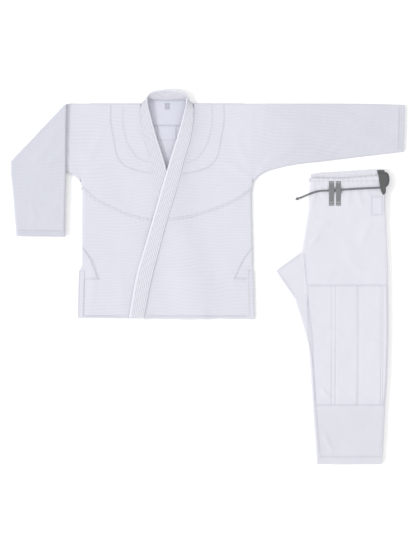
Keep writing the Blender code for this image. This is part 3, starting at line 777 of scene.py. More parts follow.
def build_back():
    ys = levels(-140.0, 586.5, 7.0)
    low, high = node_spans("back_panel", ys)
    back = panel("jacket_back", ys, low + 0.5, high - 0.5, lambda x, y: 2.1 + 0.25 * SOFT(x * 1.3, y), CLOTH,
                 INSIDE, 7.0, warp=lambda x, y: hem_wave(x, neck_rise(x, y, 14.0, 92.0, 545.0, 40.0)))
    fit(back, "pearl_weave", "jacket", ["back_panel"], (0.60, 0.733), held="laid", rests_on=["floor"])
    lining_z = lambda x, y: 3.1 + 0.3 * np.sin(x * 0.05) * np.sin(y * 0.07) + 0.2 * FINE(x, y)
    yoke = panel("inside_yoke", (510.5, 588.0, 3.0), -398.0, 123.0, lining_z, 0.7, LINING, 3.0,
                 warp=lambda x, y: neck_rise(x, y, 12.0, 90.0, 560.0, 28.0))
    patch = panel("inside_patch", (462.0, 513.0, 3.0), -170.0, -106.0, lining_z, 0.7, LINING, 3.0)
    low, high = node_box("neck_label")
    label = panel("neck_label_blank", (low[1], high[1], 1.5), low[0], high[0],
                  lambda x, y: 4.0 + 0.25 * np.sin(x * 0.5), 0.35, LABEL, 1.5)
    for y in (low[1] + 1.0, high[1] - 1.0):
        sew("jacket", [(low[0], y), (high[0], y)], flat_z(4.1), WHITE_THREAD, 2.0, 1.4, 0.5, 0.3)
    sew("jacket", [(-300, 512.0), (30, 512.0)], lining_z, GREY_THREAD, 2.4, 2.3, 1.2)
    for line in ([(-395, 516.0), (120, 516.0)], [(-167, 465), (-109, 465)], [(-167, 465), (-167, 509)],
                 [(-109, 465), (-109, 509)]):
        sew("jacket", line, lining_z)
    for piece, node, flat, slot in (
            (yoke, "yoke_lining", (0.525, 0.078), "lining"),
            (patch, "inner_back_patch", (0.064, 0.052), "lining"),
            (label, "neck_label", (0.0165, 0.0215), "blank_label")):
        fit(piece, slot, "jacket", [node], flat, held="laid", rests_on=[back.name])


def arm_overlap(ys):
    """A front reaches a little over its sleeve above the armpit."""
    return 2.9 * smoothstep((ys - 330.0) / 12.0)


def build_right_front():
    ys = levels(-141.5, 586.5)
    low, high = node_spans("right_front_panel", ys)
    front = panel("jacket_right_front", ys, low + 0.4 - arm_overlap(ys), high + 1.5, right_front_z, CLOTH,
                  PEARL, warp=hem_wave)
    fit(front, "pearl_weave", "jacket",
        ["right_front_panel", "right_side_seam", "right_shoulder_seam", "right_armpit_gusset"],
        (0.375, 0.73), area=0.235, held="laid", rests_on=["jacket_back"])
    seam = chest_seam("right", "jacket", CHEST_RIGHT, right_front_z)
    fit(seam, "pearl_weave", "jacket", ["right_chest_overlay"])
    lining = shoulder_rows("right", "jacket", right_front_z, 1)
    fit(lining, "pearl_weave", "jacket", ["right_shoulder_lining"])
    slit("right", right_front_z, right_outer, -1)


def shoulder_rows(word, carrier, surface, side):
    """Two rows along each shoulder line, and the lining's raised edge pressed through the cloth."""
    lines = [curve_through([(x, y) if side == -1 else (mirrored(x), y) for x, y in line])
             for line in (SHOULDER_OUTER, SHOULDER_INNER)]
    for line in lines:
        sew(carrier, line, surface, WHITE_THREAD)
        sew(carrier, offset_line(resample(line, 4.0), 3.4), surface, WHITE_THREAD)
    return seam_strip("shoulder_quilting_" + word, lines[0], lambda x, y: surface(x, y) - 0.15, 5.0, 0.5)


def slit(word, surface, outer, direction):
    """Reinforcement at the top of the side slit, and the folded facing down its edge."""
    def inward(y, amount):
        return outer(y) - direction * amount
    def above(height):
        return lambda x, y: surface(x, y) + height
    ys = levels(-12.0, 104.0, 3.0)
    reach = np.interp(ys, (-12.0, -2.0, 20.0, 60.0, 104.0), (70.0, 68.0, 56.0, 34.0, 3.0))
    patch = panel("slit_patch_" + word, ys, *np.sort([inward(ys, 1.0), inward(ys, reach)], 0), above(0.85),
                  0.9, PEARL, 3.5)
    ys = levels(-140.0, 22.0, 3.0)
    facing = panel("slit_facing_" + word, ys, *np.sort([inward(ys, -1.2), inward(ys, 19.0)], 0), above(1.6),
                   1.1, PEARL, 3.0, warp=hem_wave)
    patch = join([patch, facing], "slit_reinforcement_" + word)
    fit(patch, "pearl_weave", "jacket", [word + "_slit_reinforcement"], (0.07, 0.245), area=0.0085,
        held="laid", rests_on=["jacket_back"])
    for y in (-9.0, -5.0):
        sew("jacket", [(inward(y, 22.0), y), (inward(y, 68.0), y)], above(1.0))
    for k in (2.5, 5.5):
        edge = [(inward(y, r - k), y) for y, r in ((-8.0, 69.0), (20.0, 56.0), (60.0, 34.0), (96.0, 8.0))]
        sew("jacket", edge, above(1.0))
    for k in (2.0, 16.5):
        sew("jacket", [(inward(y, k), y) for y in (-134.0, -60.0, 18.0)], above(1.7))
    sew("jacket", [(inward(19.0, 1.0), 19.0), (inward(19.0, 18.0), 19.0)], above(1.7))


def build_left_front():
    ys = levels(-144.0, 586.5)
    low = np.where(ys > 567.0, -45.0, seam_x(ys) - 1.5)
    front = panel("jacket_left_front", ys, low, left_outer(ys) - 0.4 + arm_overlap(ys), left_front_z, CLOTH,
                  PEARL, warp=hem_wave)
    seam = chest_seam("left", "left_front", CHEST_LEFT, left_front_z)
    lining = shoulder_rows("left", "left_front", left_front_z, -1)
    slit("left", left_front_z, left_outer, 1)
    for gap in (5.0, 8.5):
        sew("left_front", [(x, HEM_Y + gap) for x in (-205.0, -60.0, 132.0)], left_front_z)
        sew("jacket", [(x, HEM_Y + gap) for x in (-414.0, -300.0, -222.0)], right_front_z)
    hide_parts("left_front_panel", "left_front_flap", "left_side_seam", "left_shoulder_seam",
                "left_armpit_gusset")
    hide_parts("left_chest_overlay", "flap_chest_overlay")
    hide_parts("left_shoulder_lining")
    rows = [make_stitches("left_front", mat) for mat in (LILAC, WHITE_THREAD)]
    for piece in [front, seam, lining] + rows:
        hinge(piece)


# ---------------------------------------------------------------- sleeves and legs

def flat_section(edge_a, edge_b, low, high, columns=44, arc=7):
    """Points round a flattened tube: over the top from a to b, round b, back underneath, round a.

    Edges and heights are arrays, one entry for each ring.
    """
    half = ((high - low) / 2.0)[:, None]
    middle = ((high + low) / 2.0)[:, None]
    width = np.linalg.norm(edge_b - edge_a, axis=1)[:, None]
    across = (edge_b - edge_a) / np.maximum(width, 1e-6)
    turn = np.linspace(0.0, math.pi, arc + 2)[1:-1]
    kind = np.concatenate([np.ones(columns), np.cos(turn), -np.ones(columns), -np.cos(turn)])
    reach = np.minimum(half, width * 0.45)
    run = reach + (width - 2.0 * reach) * np.linspace(0.0, 1.0, columns)
    bend = reach * np.sin(turn)
    s = np.concatenate([run, width - reach + bend, run[:, ::-1], reach - bend], 1)
    xy = edge_a[:, None] + across[:, None] * s[..., None]
    return np.concatenate([xy, (middle + half * kind)[..., None]], -1), kind


def cloth_tube(name, edge_a, edge_b, low, high, wall, mat, shape=None):
    """A flattened tube of cloth; shape(x, y, up) adds folds to its upper and lower face."""
    low, high = low + np.zeros(len(edge_a)), high + np.zeros(len(edge_a))
    points, kind = flat_section(edge_a, edge_b, low, high)
    inner, _ = flat_section(edge_a, edge_b, low + wall, high - wall)
    centre = ((edge_a + edge_b) / 2.0)[:, None]
    narrow = 1.0 - 1.5 * wall / np.linalg.norm(edge_b - edge_a, axis=1)
    inner[..., :2] = centre + (inner[..., :2] - centre) * narrow[:, None, None]
    move = shape(points[..., 0], points[..., 1], kind) if shape else 0.0
    points[..., 2] = np.maximum(points[..., 2] + move, low.min() - 0.2)
    inner[..., 2] = np.maximum(inner[..., 2] + move * 0.9, low.min() + wall * 0.7)
    return tube(name, points, inner, mat)


def rings_between(stations, step):
    """Rings a step apart through stations of (edge a, edge b), on smooth curves."""
    a, b = [curve_through(edge) for edge in zip(*stations)]
    along = lengths((a + b) / 2.0)
    margin = EDGE_STEPS[:4]
    inside = np.linspace(margin[-1], along[-1] - margin[-1], max(2, int(along[-1] / step)))[1:-1]
    at = np.concatenate([margin, inside, (along[-1] - margin)[::-1]])
    return points_at(a, along, at), points_at(b, along, at), at


LEFT_SLEEVE_FOLDS = [
    ([(160, 345), (215, 400), (300, 430)], 11.0, 1.5), ([(165, 420), (250, 470), (360, 480)], 15.0, 1.0),
    ([(180, 560), (290, 520), (420, 505)], 16.0, 1.0), ([(400, 398), (440, 440), (500, 460)], 9.0, 1.2),
    ([(420, 580), (470, 540), (560, 520)], 12.0, 0.9), ([(300, 385), (350, 410), (400, 450)], 10.0, 0.9),
    ([(560, 412), (600, 450), (650, 470)], 10.0, 0.8),
]
RIGHT_SLEEVE_FOLDS = [
    ([(-436, 345), (-480, 400), (-540, 430)], 11.0, 1.4),
    ([(-440, 430), (-500, 470), (-560, 470)], 14.0, 0.9),
    ([(-470, 560), (-520, 500), (-590, 450)], 12.0, 0.8),
]
FOREARM_FOLDS = [
    ([(-500, 520), (-540, 440), (-600, 380)], 13.0, 1.0),
    ([(-486, 420), (-540, 380), (-630, 350)], 12.0, 1.1),
    ([(-655, 290), (-600, 280), (-540, 300)], 11.0, 0.9),
    ([(-486, 250), (-530, 230), (-590, 240)], 12.0, 0.8),
    ([(-600, 150), (-585, 200), (-600, 260)], 10.0, 0.7),
]
LEFT_SLEEVE = [                 # (x, armpit side, shoulder side)
    (154.9, 320.0, 587.0), (176.0, 343.0, 587.0), (218.0, 362.0, 587.0), (300.0, 380.0, 587.0),
    (410.0, 393.0, 587.0), (540.0, 409.0, 586.0), (668.0, 423.0, 583.0),
]
CUFF_ROWS = (2.5, 10.5, 17.0, 19.5)   # distances of the cuff's stitching from its edge
LEFT_TOP, RIGHT_TOP = 10.6, 10.4      # heights of the sleeves at their armholes
FOLD_ALONG = (FOLD_LOW - FOLD_HIGH) / np.linalg.norm(FOLD_LOW - FOLD_HIGH)
FOLD_OUT = np.array((FOLD_ALONG[1], -FOLD_ALONG[0]))
SLEEVE_SOFT = Ripple(21, 90.0, (0.7, 1.3))
SLEEVE_FINE = Ripple(22, 30.0)


def sleeve_shape(lines, body=None, armhole_x=0.0, base=0.0):
    """Folds of a sleeve; beside its armhole it follows the height of the body's cloth."""
    def shape(x, y, kind=1.0):
        z = 0.55 * SLEEVE_SOFT(x, y) + 0.2 * SLEEVE_FINE(x, y) + folds(x, y, lines)
        if body is not None:
            level = np.clip(body(np.full(np.shape(x), armhole_x), y) - 0.15 - base, -1.5, 1.5)
            own = smoothstep((np.abs(x - armhole_x) - 3.0) / 40.0)
            z = z * own + level * (1.0 - own) * (y > 345.0)
        return z * np.clip(kind, 0.0, 1.0)
    return shape


def cuff_lining(word, stations, low, high):
    edge_a, edge_b, _ = rings_between(stations, 6.0)
    return cloth_tube(word + "_cuff_lining", edge_a, edge_b, low, high, 0.7, LINING)


def build_left_sleeve():
    stations = [((x - 2.0 * (x > 660), a), (x + 2.0 * (x > 660), b)) for x, a, b in LEFT_SLEEVE]
    edge_a, edge_b, at = rings_between(stations, 5.0)
    shape = sleeve_shape(LEFT_SLEEVE_FOLDS, left_front_z, 154.0, LEFT_TOP)
    top = LEFT_TOP - 0.8 * smoothstep((at - 420.0) / 90.0)
    sleeve = cloth_tube("left_sleeve", edge_a, edge_b, 0.3, top, CLOTH, PEARL_SLEEVE, shape)
    surface = lambda x, y: LEFT_TOP - 0.8 * smoothstep((x - 575.0) / 90.0) + shape(x, y)
    a, b = np.array(((666.0, 431.0), (669.5, 575.0)))
    inward = np.array((a[1] - b[1], b[0] - a[0])) / np.linalg.norm(b - a)
    for gap in CUFF_ROWS:
        sew("left_sleeve", [a + inward * gap, b + inward * gap], surface)
    stations = [((638.0, 423.0), (640.0, 581.0)), ((664.6, 426.0), (668.6, 581.0))]
    facing = cuff_lining("left", stations, 2.2, 7.8)
    rows = make_stitches("left_sleeve")
    for piece, slot, nodes in ((sleeve, "pearl_weave", ["left_upper_sleeve", "left_forearm"]),
                               (facing, "lining", ["left_cuff_facing"]), (rows, "pearl_weave", ())):
        fit(piece, slot, nodes=nodes)
        hinge(piece)


def fold_point(t, inward=0.0):
    return FOLD_HIGH + (FOLD_LOW - FOLD_HIGH) * t - FOLD_OUT * inward


def build_right_sleeve():
    """The upper sleeve, the forearm folded down over it, and the bent cloth that joins them."""
    fold = (fold_point(0.0, 1.5), fold_point(1.0, 1.5))
    stations = [((-430.9, 587.0), (-430.9, 320.0)), ((-450.0, 587.0), (-458.0, 347.0)),
                ((-468.0, 587.0), (-500.0, 362.0)), ((-474.0, 587.0), (-560.0, 378.0)),
                ((-478.0, 586.5), (-620.0, 386.0)), fold]
    edge_a, edge_b, _ = rings_between(stations, 6.0)
    upper = cloth_tube("right_sleeve_upper", edge_a, edge_b, 0.3, RIGHT_TOP, CLOTH, PEARL,
                       sleeve_shape(RIGHT_SLEEVE_FOLDS, right_front_z, -430.0, RIGHT_TOP))
    fit(upper, "pearl_weave", "jacket", ["right_upper_sleeve"], (0.50, 0.15), area=0.056, held="laid",
        rests_on=["floor"])

    shape = sleeve_shape(FOREARM_FOLDS)
    stations = [fold, ((-479.5, 500.0), (-666.0, 350.0)), ((-480.5, 400.0), (-660.0, 292.0)),
                ((-481.5, 270.0), (-655.0, 220.0)), ((-483.0, 135.0), (-649.0, 138.0))]
    edge_a, edge_b, at = rings_between(stations, 5.0)
    top = 21.8 - 2.4 * smoothstep(at / at[-1])
    bottom = 11.8 - 6.5 * smoothstep((at - 150.0) / 160.0)
    forearm = cloth_tube("right_sleeve_forearm", edge_a, edge_b, bottom, top, CLOTH, PEARL_FOREARM, shape)
    fit(forearm, "pearl_weave", "right_forearm", ["right_forearm"], (0.45, 0.33), area=0.118, held="folded",
        rests_on=[upper.name])
    middle_y = (edge_a + edge_b)[:, 1] / 2.0
    surface = lambda x, y: np.interp(-y, -middle_y, top) + shape(x, y)
    for gap in CUFF_ROWS:
        sew("right_forearm", [(-490.0, 135.5 + gap), (-641.0, 138.0 + gap)], surface)
    stations = [((-485.5, 166.0), (-647.5, 168.0)), ((-486.5, 137.0), (-645.5, 139.5))]
    facing = cuff_lining("right", stations, 7.2, 17.2)
    fit(facing, "lining", "right_forearm", ["right_cuff_facing"], (0.33, 0.03), held="laid",
        rests_on=[forearm.name])
    fit(make_stitches("right_forearm"), "pearl_weave", "right_forearm")
    build_sleeve_bend()


def build_sleeve_bend():
    """The outer bend at the fold: half a turn of cloth."""
    t = np.linspace(0.004, 0.996, 70)
    turn = np.linspace(-0.5 * math.pi, 0.5 * math.pi, 15)
    reach = 7.0 + 0.6 * Ripple(31, 46.0)(t * 273.0, 0.0 * t)[:, None]
    base = np.stack([fold_point(k) for k in t])
    def layer(depth):
        xy = base[:, None] + FOLD_OUT * ((reach - depth) * np.cos(turn) - 5.5)[..., None]
        z = 11.2 + (10.3 - depth) * np.sin(turn) + 0.0 * reach
        return np.concatenate([xy, z[..., None]], -1)
    bend = solid("right_sleeve_bend", np.concatenate([layer(0.0), layer(CLOTH)[:, ::-1]], 1), PEARL_FOREARM)
    hinge(bend)
    fit(bend, "pearl_weave", flat=(0.27, 0.028), held="folded", rests_on=["right_sleeve_upper"])


# ---------------------------------------------------------------- collar

COLLAR_THICK = 6.2
NECK_RIGHT = [                  # (seam edge, free edge), from the right lapel to the centre of the back
    ((-222.0, 588.0, 9.5), (-203.0, 592.0, 22.0)), ((-200.0, 601.0, 7.5), (-203.0, 612.0, 25.0)),
    ((-170.0, 600.0, 6.6), (-184.0, 627.0, 26.0)), ((-137.5, 598.0, 6.6), (-137.5, 634.0, 26.0)),
]
BAND_ROWS = 8                   # rows of stitching along the collar
WRAP_POINTS = 41                # points across each face


def band_stations(right):
    """Edges of half the collar, from the hem up to the centre of the back."""
    stations = []
    for i, (free, seam) in reversed(list(enumerate(LAPEL))):
        height = 11.6 if right else left_lapel_z(seam[1])
        top = height + (6.5 if right else 3.2) * max(0.0, 1.0 - i / 2.0)
        stations.append(((*seam, height), (*free, top)))
    if right:
        return [[(mirrored(x), y, z) for x, y, z in pair] for pair in stations] + NECK_RIGHT
    return stations + [[(mirrored(x), y, z) for x, y, z in pair] for pair in NECK_RIGHT]


def collar_band(name, right):
    """Half the collar: a thick flat band with stitch rows pressed into both faces."""
    seam, free = [curve_through(edge, 16) for edge in zip(*band_stations(right))]
    middle = (seam + free) / 2.0
    along = lengths(middle)
    at = np.concatenate([EDGE_STEPS[:4], np.arange(3.0, along[-1], 3.0), [along[-1]]])
    seam, free, middle = [points_at(line, along, at) for line in (seam, free, middle)]
    tangent = np.gradient(middle, at, axis=0)
    if not right:
        tangent[-1] = tangent[-1] * (1.0, 0.0, 0.0)
    across = free - seam
    width = np.linalg.norm(across, axis=1)[:, None]
    across /= width
    up = np.cross(across, tangent)
    up[up[:, 2] < 0.0] *= -1.0
    up /= np.linalg.norm(up, axis=1, keepdims=True)
    even = np.linspace(0.0, 1.0, WRAP_POINTS)
    t = 0.35 * (0.5 - 0.5 * np.cos(math.pi * even)) + 0.65 * even
    profile = (1.0 - np.abs(2.0 * t - 1.0) ** 7) ** 0.45
    rows = 0.42 * np.cos(2.0 * math.pi * (BAND_ROWS + 1) * t) * smoothstep(t / 0.12) * (t < 0.86)
    edge_roll = 0.5 * bell((t - 0.93) / 0.075) + 0.2 * bell((t - 0.04) / 0.05)
    weave_bumps = 0.12 * np.sin(at[:, None] * 1.9 + np.arange(WRAP_POINTS) * math.pi / 2.5)
    half = COLLAR_THICK / 2.0 * profile + (rows + edge_roll) * (profile > 0.6)
    end = np.minimum(1.0, np.sqrt(np.clip(at / 3.0, 0.0, 1.0)) * 0.5 + 0.5)[:, None]
    face = seam[:, None] + across[:, None] * (t * width)[..., None]
    above = face + up[:, None] * ((half + weave_bumps * (profile > 0.8)) * end)[..., None]
    below = face - up[:, None] * (half * end)[..., None]
    ring = np.concatenate([above, below[:, ::-1][:, 1:-1]], 1)
    wrap = np.concatenate([t, t[::-1][1:-1] + 1.0]) * 52.0
    band = solid(name, ring, COLLAR, np.stack(np.broadcast_arrays(wrap, at[:, None]), -1))
    return band, collar_stitches(name, np.hstack([seam, across, up, width]), at)


def collar_stitches(name, frames, at):
    """The rows of thread in the band's grooves, on both faces, following its curve.

    frames has the seam point, the direction across, the direction up and the width at each place.
    """
    low = ((-1.5, -0.7, -0.3), (1.5, -0.5, -0.3), (1.5, 0.7, -0.3), (-1.5, 0.5, -0.3))
    high = ((-1.0, -0.5, 0.34), (1.0, -0.3, 0.34), (1.0, 0.5, 0.34), (-1.0, 0.3, 0.34))
    along, sideways, lift = np.array(low + high).T
    centres = np.arange(4.0, at[-1] - 2.0, 4.2)
    points = []
    for j in range(BAND_ROWS):
        for face in (1.0, -1.0):
            for s in centres + 1.3 * (j % 2):
                here = points_at(frames, at, s + along)
                seam, across, up, width = np.split(here, (3, 6, 9), 1)
                out = across * (width * (j + 0.5) / (BAND_ROWS + 1) + sideways[:, None])
                points.append(seam + out + up * face * (COLLAR_THICK / 2.0 - 0.38 + lift)[:, None])
    return outward(blocks(name + "_stitches", points, COLLAR_THREAD))


def build_collar():
    for piece in collar_band("collar_right_half", True):
        fit(piece, "collar_cover", "jacket")
    for piece in collar_band("collar_left_half", False):
        hinge(fit(piece, "collar_cover"))
    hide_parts("right_lapel", "back_collar", "right_lapel_core", "back_collar_core")
    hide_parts("left_lapel", "left_lapel_core")


# ---------------------------------------------------------------- trousers

LEG_EDGES = np.array([          # (y, inner edge x, outer edge x)
    (-636.0, 372.0, 592.0), (-459.0, 359.0, 601.0), (-345.0, 351.0, 609.0), (KNEE_Y, 343.0, 612.6),
    (-179.0, 328.0, 614.0), (-141.0, 317.0, 613.6), (-120.0, 310.0, 613.4), (-96.0, 302.0, 613.1),
    (-72.0, 296.0, 612.8), (-60.0, 329.0, 612.6), (-24.0, 328.0, 612.0), (42.0, 323.0, 611.0),
    (84.0, 319.0, 609.0),
])
LEG_TOP = 17.0
WAIST_TOP = 23.4
PATCH_TOP, PATCH_BOTTOM = -27.0, -439.0
PATCH_INNER = 330.0
QUILT_X = (421.0, 434.0, 508.0, 513.0, 588.0, 595.0)
LEG_SOFT = Ripple(41, 130.0, (1.2, 0.8))
LEG_FINE = Ripple(42, 46.0)
LEG_FOLDS = [
    ([(342, 98), (360, 122), (382, 142)], 7.0, 1.8), ([(382, -374), (398, -396), (420, -408)], 7.0, 1.5),
    ([(398, -530), (408, -566), (428, -596)], 7.0, 1.6), ([(330, -40), (380, -10), (440, 10)], 14.0, 1.1),
    ([(345, -200), (400, -180), (470, -190)], 14.0, 1.0),
    ([(350, -470), (420, -452), (520, -470)], 13.0, 1.0),
    ([(600, -240), (540, -215), (480, -228)], 14.0, 0.9), ([(470, 60), (520, 20), (600, 6)], 18.0, 0.9),
    ([(590, -520), (540, -500), (470, -520)], 12.0, 0.9), ([(440, 150), (480, 90), (500, 20)], 20.0, 0.9),
]
HIP_FOLDS = [
    ([(356, 316), (364, 280), (352, 236)], 6.0, 1.3), ([(376, 318), (384, 290), (402, 262)], 6.0, 1.2),
    ([(398, 318), (404, 296), (406, 276)], 5.0, 0.9), ([(470, 318), (478, 280), (474, 230)], 7.0, 1.0),
    ([(500, 318), (512, 270), (530, 220)], 8.0, 1.0), ([(540, 318), (540, 292), (548, 262)], 6.0, 0.9),
    ([(350, 210), (376, 190), (420, 186)], 10.0, 1.2), ([(350, 160), (390, 176), (440, 200)], 11.0, 1.0),
    ([(566, 200), (540, 160), (520, 110)], 14.0, 1.0),
]
BAND_FOLDS = [
    ([(346, 338), (372, 330), (402, 334)], 3.0, 1.0), ([(425, 336), (462, 326), (500, 335)], 3.0, 1.1),
    ([(480, 346), (520, 331), (572, 327)], 3.5, 1.1), ([(350, 318), (400, 306), (440, 313)], 3.5, 1.0),
    ([(450, 313), (500, 304), (562, 311)], 3.5, 0.9), ([(350, 301), (388, 292), (412, 297)], 3.5, 0.9),
    ([(458, 330), (480, 318), (505, 316)], 3.0, 0.8),
]
INSEAM_ABOVE = [(325.0, 78.0), (328.0, 42.0), (334.0, -24.0), (336.0, -62.0)]
INSEAM_BELOW = [
    (337.0, -66.0), (339.0, -95.0), (344.0, -140.0), (349.0, -182.0), (354.0, -233.0), (358.0, -345.0),
    (366.0, -459.0), (378.0, -600.0),
]
OUTSEAM = [
    (602.0, 80.0), (605.0, -24.0), (606.5, -120.0), (607.0, -179.0), (605.5, -233.0), (602.0, -345.0),
    (594.0, -459.0), (586.0, -600.0),
]


def leg_edge(y):
    return np.interp(y, LEG_EDGES[:, 0], LEG_EDGES[:, 1]), np.interp(y, LEG_EDGES[:, 0], LEG_EDGES[:, 2])


def leg_relief(x, y):
    return 0.75 * LEG_SOFT(x, y) + 0.3 * LEG_FINE(x, y) + folds(x, y, LEG_FOLDS)


def hem_relief(x, y):
    """The leg's own unevenness with its doubled hem, coming down towards the ankle."""
    return leg_relief(x, y) + 0.8 * (y < -606.0) - 2.6 * smoothstep((-560.0 - y) / 80.0)


def leg_z(x, y):
    return LEG_TOP + hem_relief(x, y)


def over_patch(y):
    return 1.3 * (y < PATCH_TOP) * (y > PATCH_BOTTOM)


def waist_height(y):
    return LEG_TOP + (WAIST_TOP - LEG_TOP) * smoothstep((y - 170.0) / 75.0)


def gathers(x, y):
    """Small upright puckers that fade out below the waistband."""
    wide = 0.45 * np.sin(x * 0.34 + 2.2 * np.sin(x * 0.05))
    narrow = 0.25 * np.sin(x * 0.71 + 1.5 * np.sin(x * 0.08))
    return (wide + narrow) * np.exp(-np.clip(322.0 - y, 0.0, None) / 26.0)


def trouser_z(x, y):
    """Top of the folded trousers: hips and the upper leg."""
    z = waist_height(y) + leg_relief(x, y) * (1.0 - 0.5 * smoothstep((y - 250.0) / 40.0))
    return z + folds(x, y, HIP_FOLDS) + folds(x, y, BAND_FOLDS) * 0.7 + gathers(x, y)


def c_ring(y, left, right, high, inset, low=1.0, run=60, arc=6):
    """Section of the hips folded at the centre seam: two flat layers joined along the left."""
    middle = (low + high) / 2.0
    s = np.linspace(0.0, 1.0, run)
    turn = np.linspace(0.0, math.pi, arc + 2)[1:-1]
    out, back = np.sin(turn), 1.0 - np.cos(turn)
    under, over = middle - 0.2 - inset, middle + 0.2 + inset
    bottom, top = low + inset, high - inset
    r_low, r_high, r_left = (under - bottom) / 2.0, (top - over) / 2.0, (top - bottom) / 2.0
    start, fold = left + r_left * 0.6 + inset, left + 10.0 - inset
    low_end, high_end = right - inset - r_low, right - inset - r_high
    x = [start + (low_end - start) * s, low_end + r_low * out, low_end + (fold - low_end) * s,
         fold + (high_end - fold) * s, high_end + r_high * out, high_end + (start - high_end) * s,
         start - r_left * 0.6 * out]
    z = [bottom + 0.0 * s, bottom + r_low * back, under + 0.0 * s, over + 0.0 * s, over + r_high * back,
         top + 0.0 * s, top - r_left * back]
    kind = [0.0 * s, 0.0 * turn, 0.0 * s, 0.0 * s, 0.5 * back, 1.0 + 0.0 * s, 1.0 - 0.5 * back]
    x, z, kind = [np.concatenate(part) for part in (x, z, kind)]
    z += (trouser_z(x, y) - waist_height(y)) * kind
    return np.stack([x, np.full(len(x), y), z], -1)


def build_hips():
    ys = levels(83.85, 321.8, 4.0)
    left = np.interp(ys, (84.0, 176.0, 235.0, 322.0), (319.3, 334.5, 342.0, 346.0))
    right = np.interp(ys, (84.0, 176.0, 235.0, 322.0), (609.0, 605.0, 602.0, 601.0))
    outer, inner = [np.stack([c_ring(y, a, b, waist_height(y), inset) for y, a, b in zip(ys, left, right)])
                    for inset in (0.0, CANVAS)]
    fit(tube("trousers_hips", outer, inner, DRILL), "trouser_canvas", "trousers", ["hips"], (1.06, 0.24),
        held="folded", rests_on=["floor"])


def bending(piece, nodes=(), flat=None, **sheet):
    """Bakes a piece of a leg into place and hides its CAD nodes."""
    hinge(piece)
    return fit(piece, "trouser_canvas", None, nodes, flat, **sheet)


def build_leg(word, low, high, under):
    ys = levels(-636.0, 84.15, 5.0)[::-1]
    edge_a, edge_b = [np.stack([edge, ys], 1) for edge in leg_edge(ys)]
    shape = None if under else lambda x, y, kind: hem_relief(x, y) * np.clip(kind, 0.0, 1.0)
    leg = cloth_tube("trousers_%s_leg" % word, edge_a, edge_b, low, high, CANVAS, DRILL, shape)
    bending(leg, [word + "_thigh", word + "_lower_leg"], (0.56, 0.72), area=0.385, held="laid",
            rests_on=["floor" if under else "trousers_right_leg"])
    middle = (low + high) / 2.0
    def gusset_z(x, y):
        if under:
            return middle + 0.5 + 0.0 * x
        return middle + 1.2 + 1.5 * smoothstep(np.hypot(x - 233.0, y - 20.0) / 70.0) + 0.3 * LEG_FINE(x, y)
    ys = levels(-73.0, 80.0, 3.0)
    inner = np.interp(ys, (-73.0, -60.0, -28.0, 20.0, 80.0), (294.5, 287.0, 264.5, 233.0, 316.0))
    gusset = panel("crotch_gusset_" + word, ys, inner, np.maximum(leg_edge(ys)[0] + 3.0, inner + 1.0),
                   gusset_z, 1.2 if under else 2.4, DRILL, 3.0)
    fit(gusset, "trouser_canvas", "trousers", [word + "_crotch_gusset"], (0.10, 0.142), area=0.0073,
        held="folded", rests_on=[leg.name])
    if not under:
        for gap in (3.0, 6.5):
            rim = [(233.0 + gap * 1.6, 20.0), (265.0 + gap, -26.0), (290.0 + gap, -60.0)]
            sew("trousers", rim, gusset_z, WHITE_THREAD)
            sew("trousers", [(240.0 + gap, 22.0 + gap * 0.2), (314.0, 76.0 - gap)], gusset_z, WHITE_THREAD)


def patch_z(x, y):
    """The knee patch: a second layer, sunk along its quilted rows."""
    z = leg_relief(x, y) + LEG_TOP + 1.3 - 0.75 * sum(np.exp(-((x - row) / 2.4) ** 2) for row in QUILT_X)
    return z + 0.22 * np.sin(y * 0.32 + x * 0.02) * np.exp(-np.abs(y + 30.0) / 30.0)


def patch_inner(y):
    return np.maximum(leg_edge(y)[0], PATCH_INNER)


def build_knee_patches():
    ys = levels(PATCH_BOTTOM, PATCH_TOP, 4.0)
    for word, surface, thick, step, below in (("left", patch_z, 1.1, 2.2, "trousers_left_leg"),
                                              ("right", flat_z(0.9), 0.7, 12.0, "floor")):
        patch = panel("knee_patch_" + word, ys, patch_inner(ys) + 5.0, leg_edge(ys)[1] - 5.0, surface, thick,
                      DRILL, step)
        bending(patch, [word + "_knee_patch_upper", word + "_knee_patch_lower"], (0.275, 0.412), area=0.108,
                held="laid", rests_on=[below])
    for gap in (2.5, 6.0):
        for edge in (PATCH_TOP - gap, PATCH_BOTTOM + gap):
            sew("leg", [(patch_inner(edge) + 8.0, edge), (leg_edge(edge)[1] - 8.0, edge)], patch_z)
        sew("leg", [(patch_inner(y) + 5.0 + gap, y) for y in (-34.0, -120.0, -200.0, -300.0, -430.0)],
            patch_z)
    for row in QUILT_X:
        line = [(row, PATCH_TOP - 4.0), (row, -230.0), (row - 3.0, PATCH_BOTTOM + 4.0)]
        sew("leg", line, patch_z, LILAC, 5.0, 2.9)
    for y in (-609.0, -612.5):
        sew("leg", [(377.0, y), (588.0, y)], leg_z)
    lower_z = lambda x, y: leg_z(x, y) + over_patch(y) * (x > leg_edge(y)[0] + 5.0)
    for gap in (0.0, 4.0):
        for line, surface in ((INSEAM_ABOVE, leg_z), (INSEAM_BELOW, lower_z)):
            sew("leg", [(x + gap, y) for x, y in line], surface, LILAC, 4.4, 3.0, 1.1)
    sew("leg", OUTSEAM, lambda x, y: leg_z(x, y) + over_patch(y), WHITE_THREAD, 4.4)
    for mat in (LILAC, WHITE_THREAD):
        bending(make_stitches("leg", mat))


def band_top(x):
    return np.interp(x, (346.0, 450.0, 577.0, 601.0), (334.0, 332.0, 342.0, 343.0))


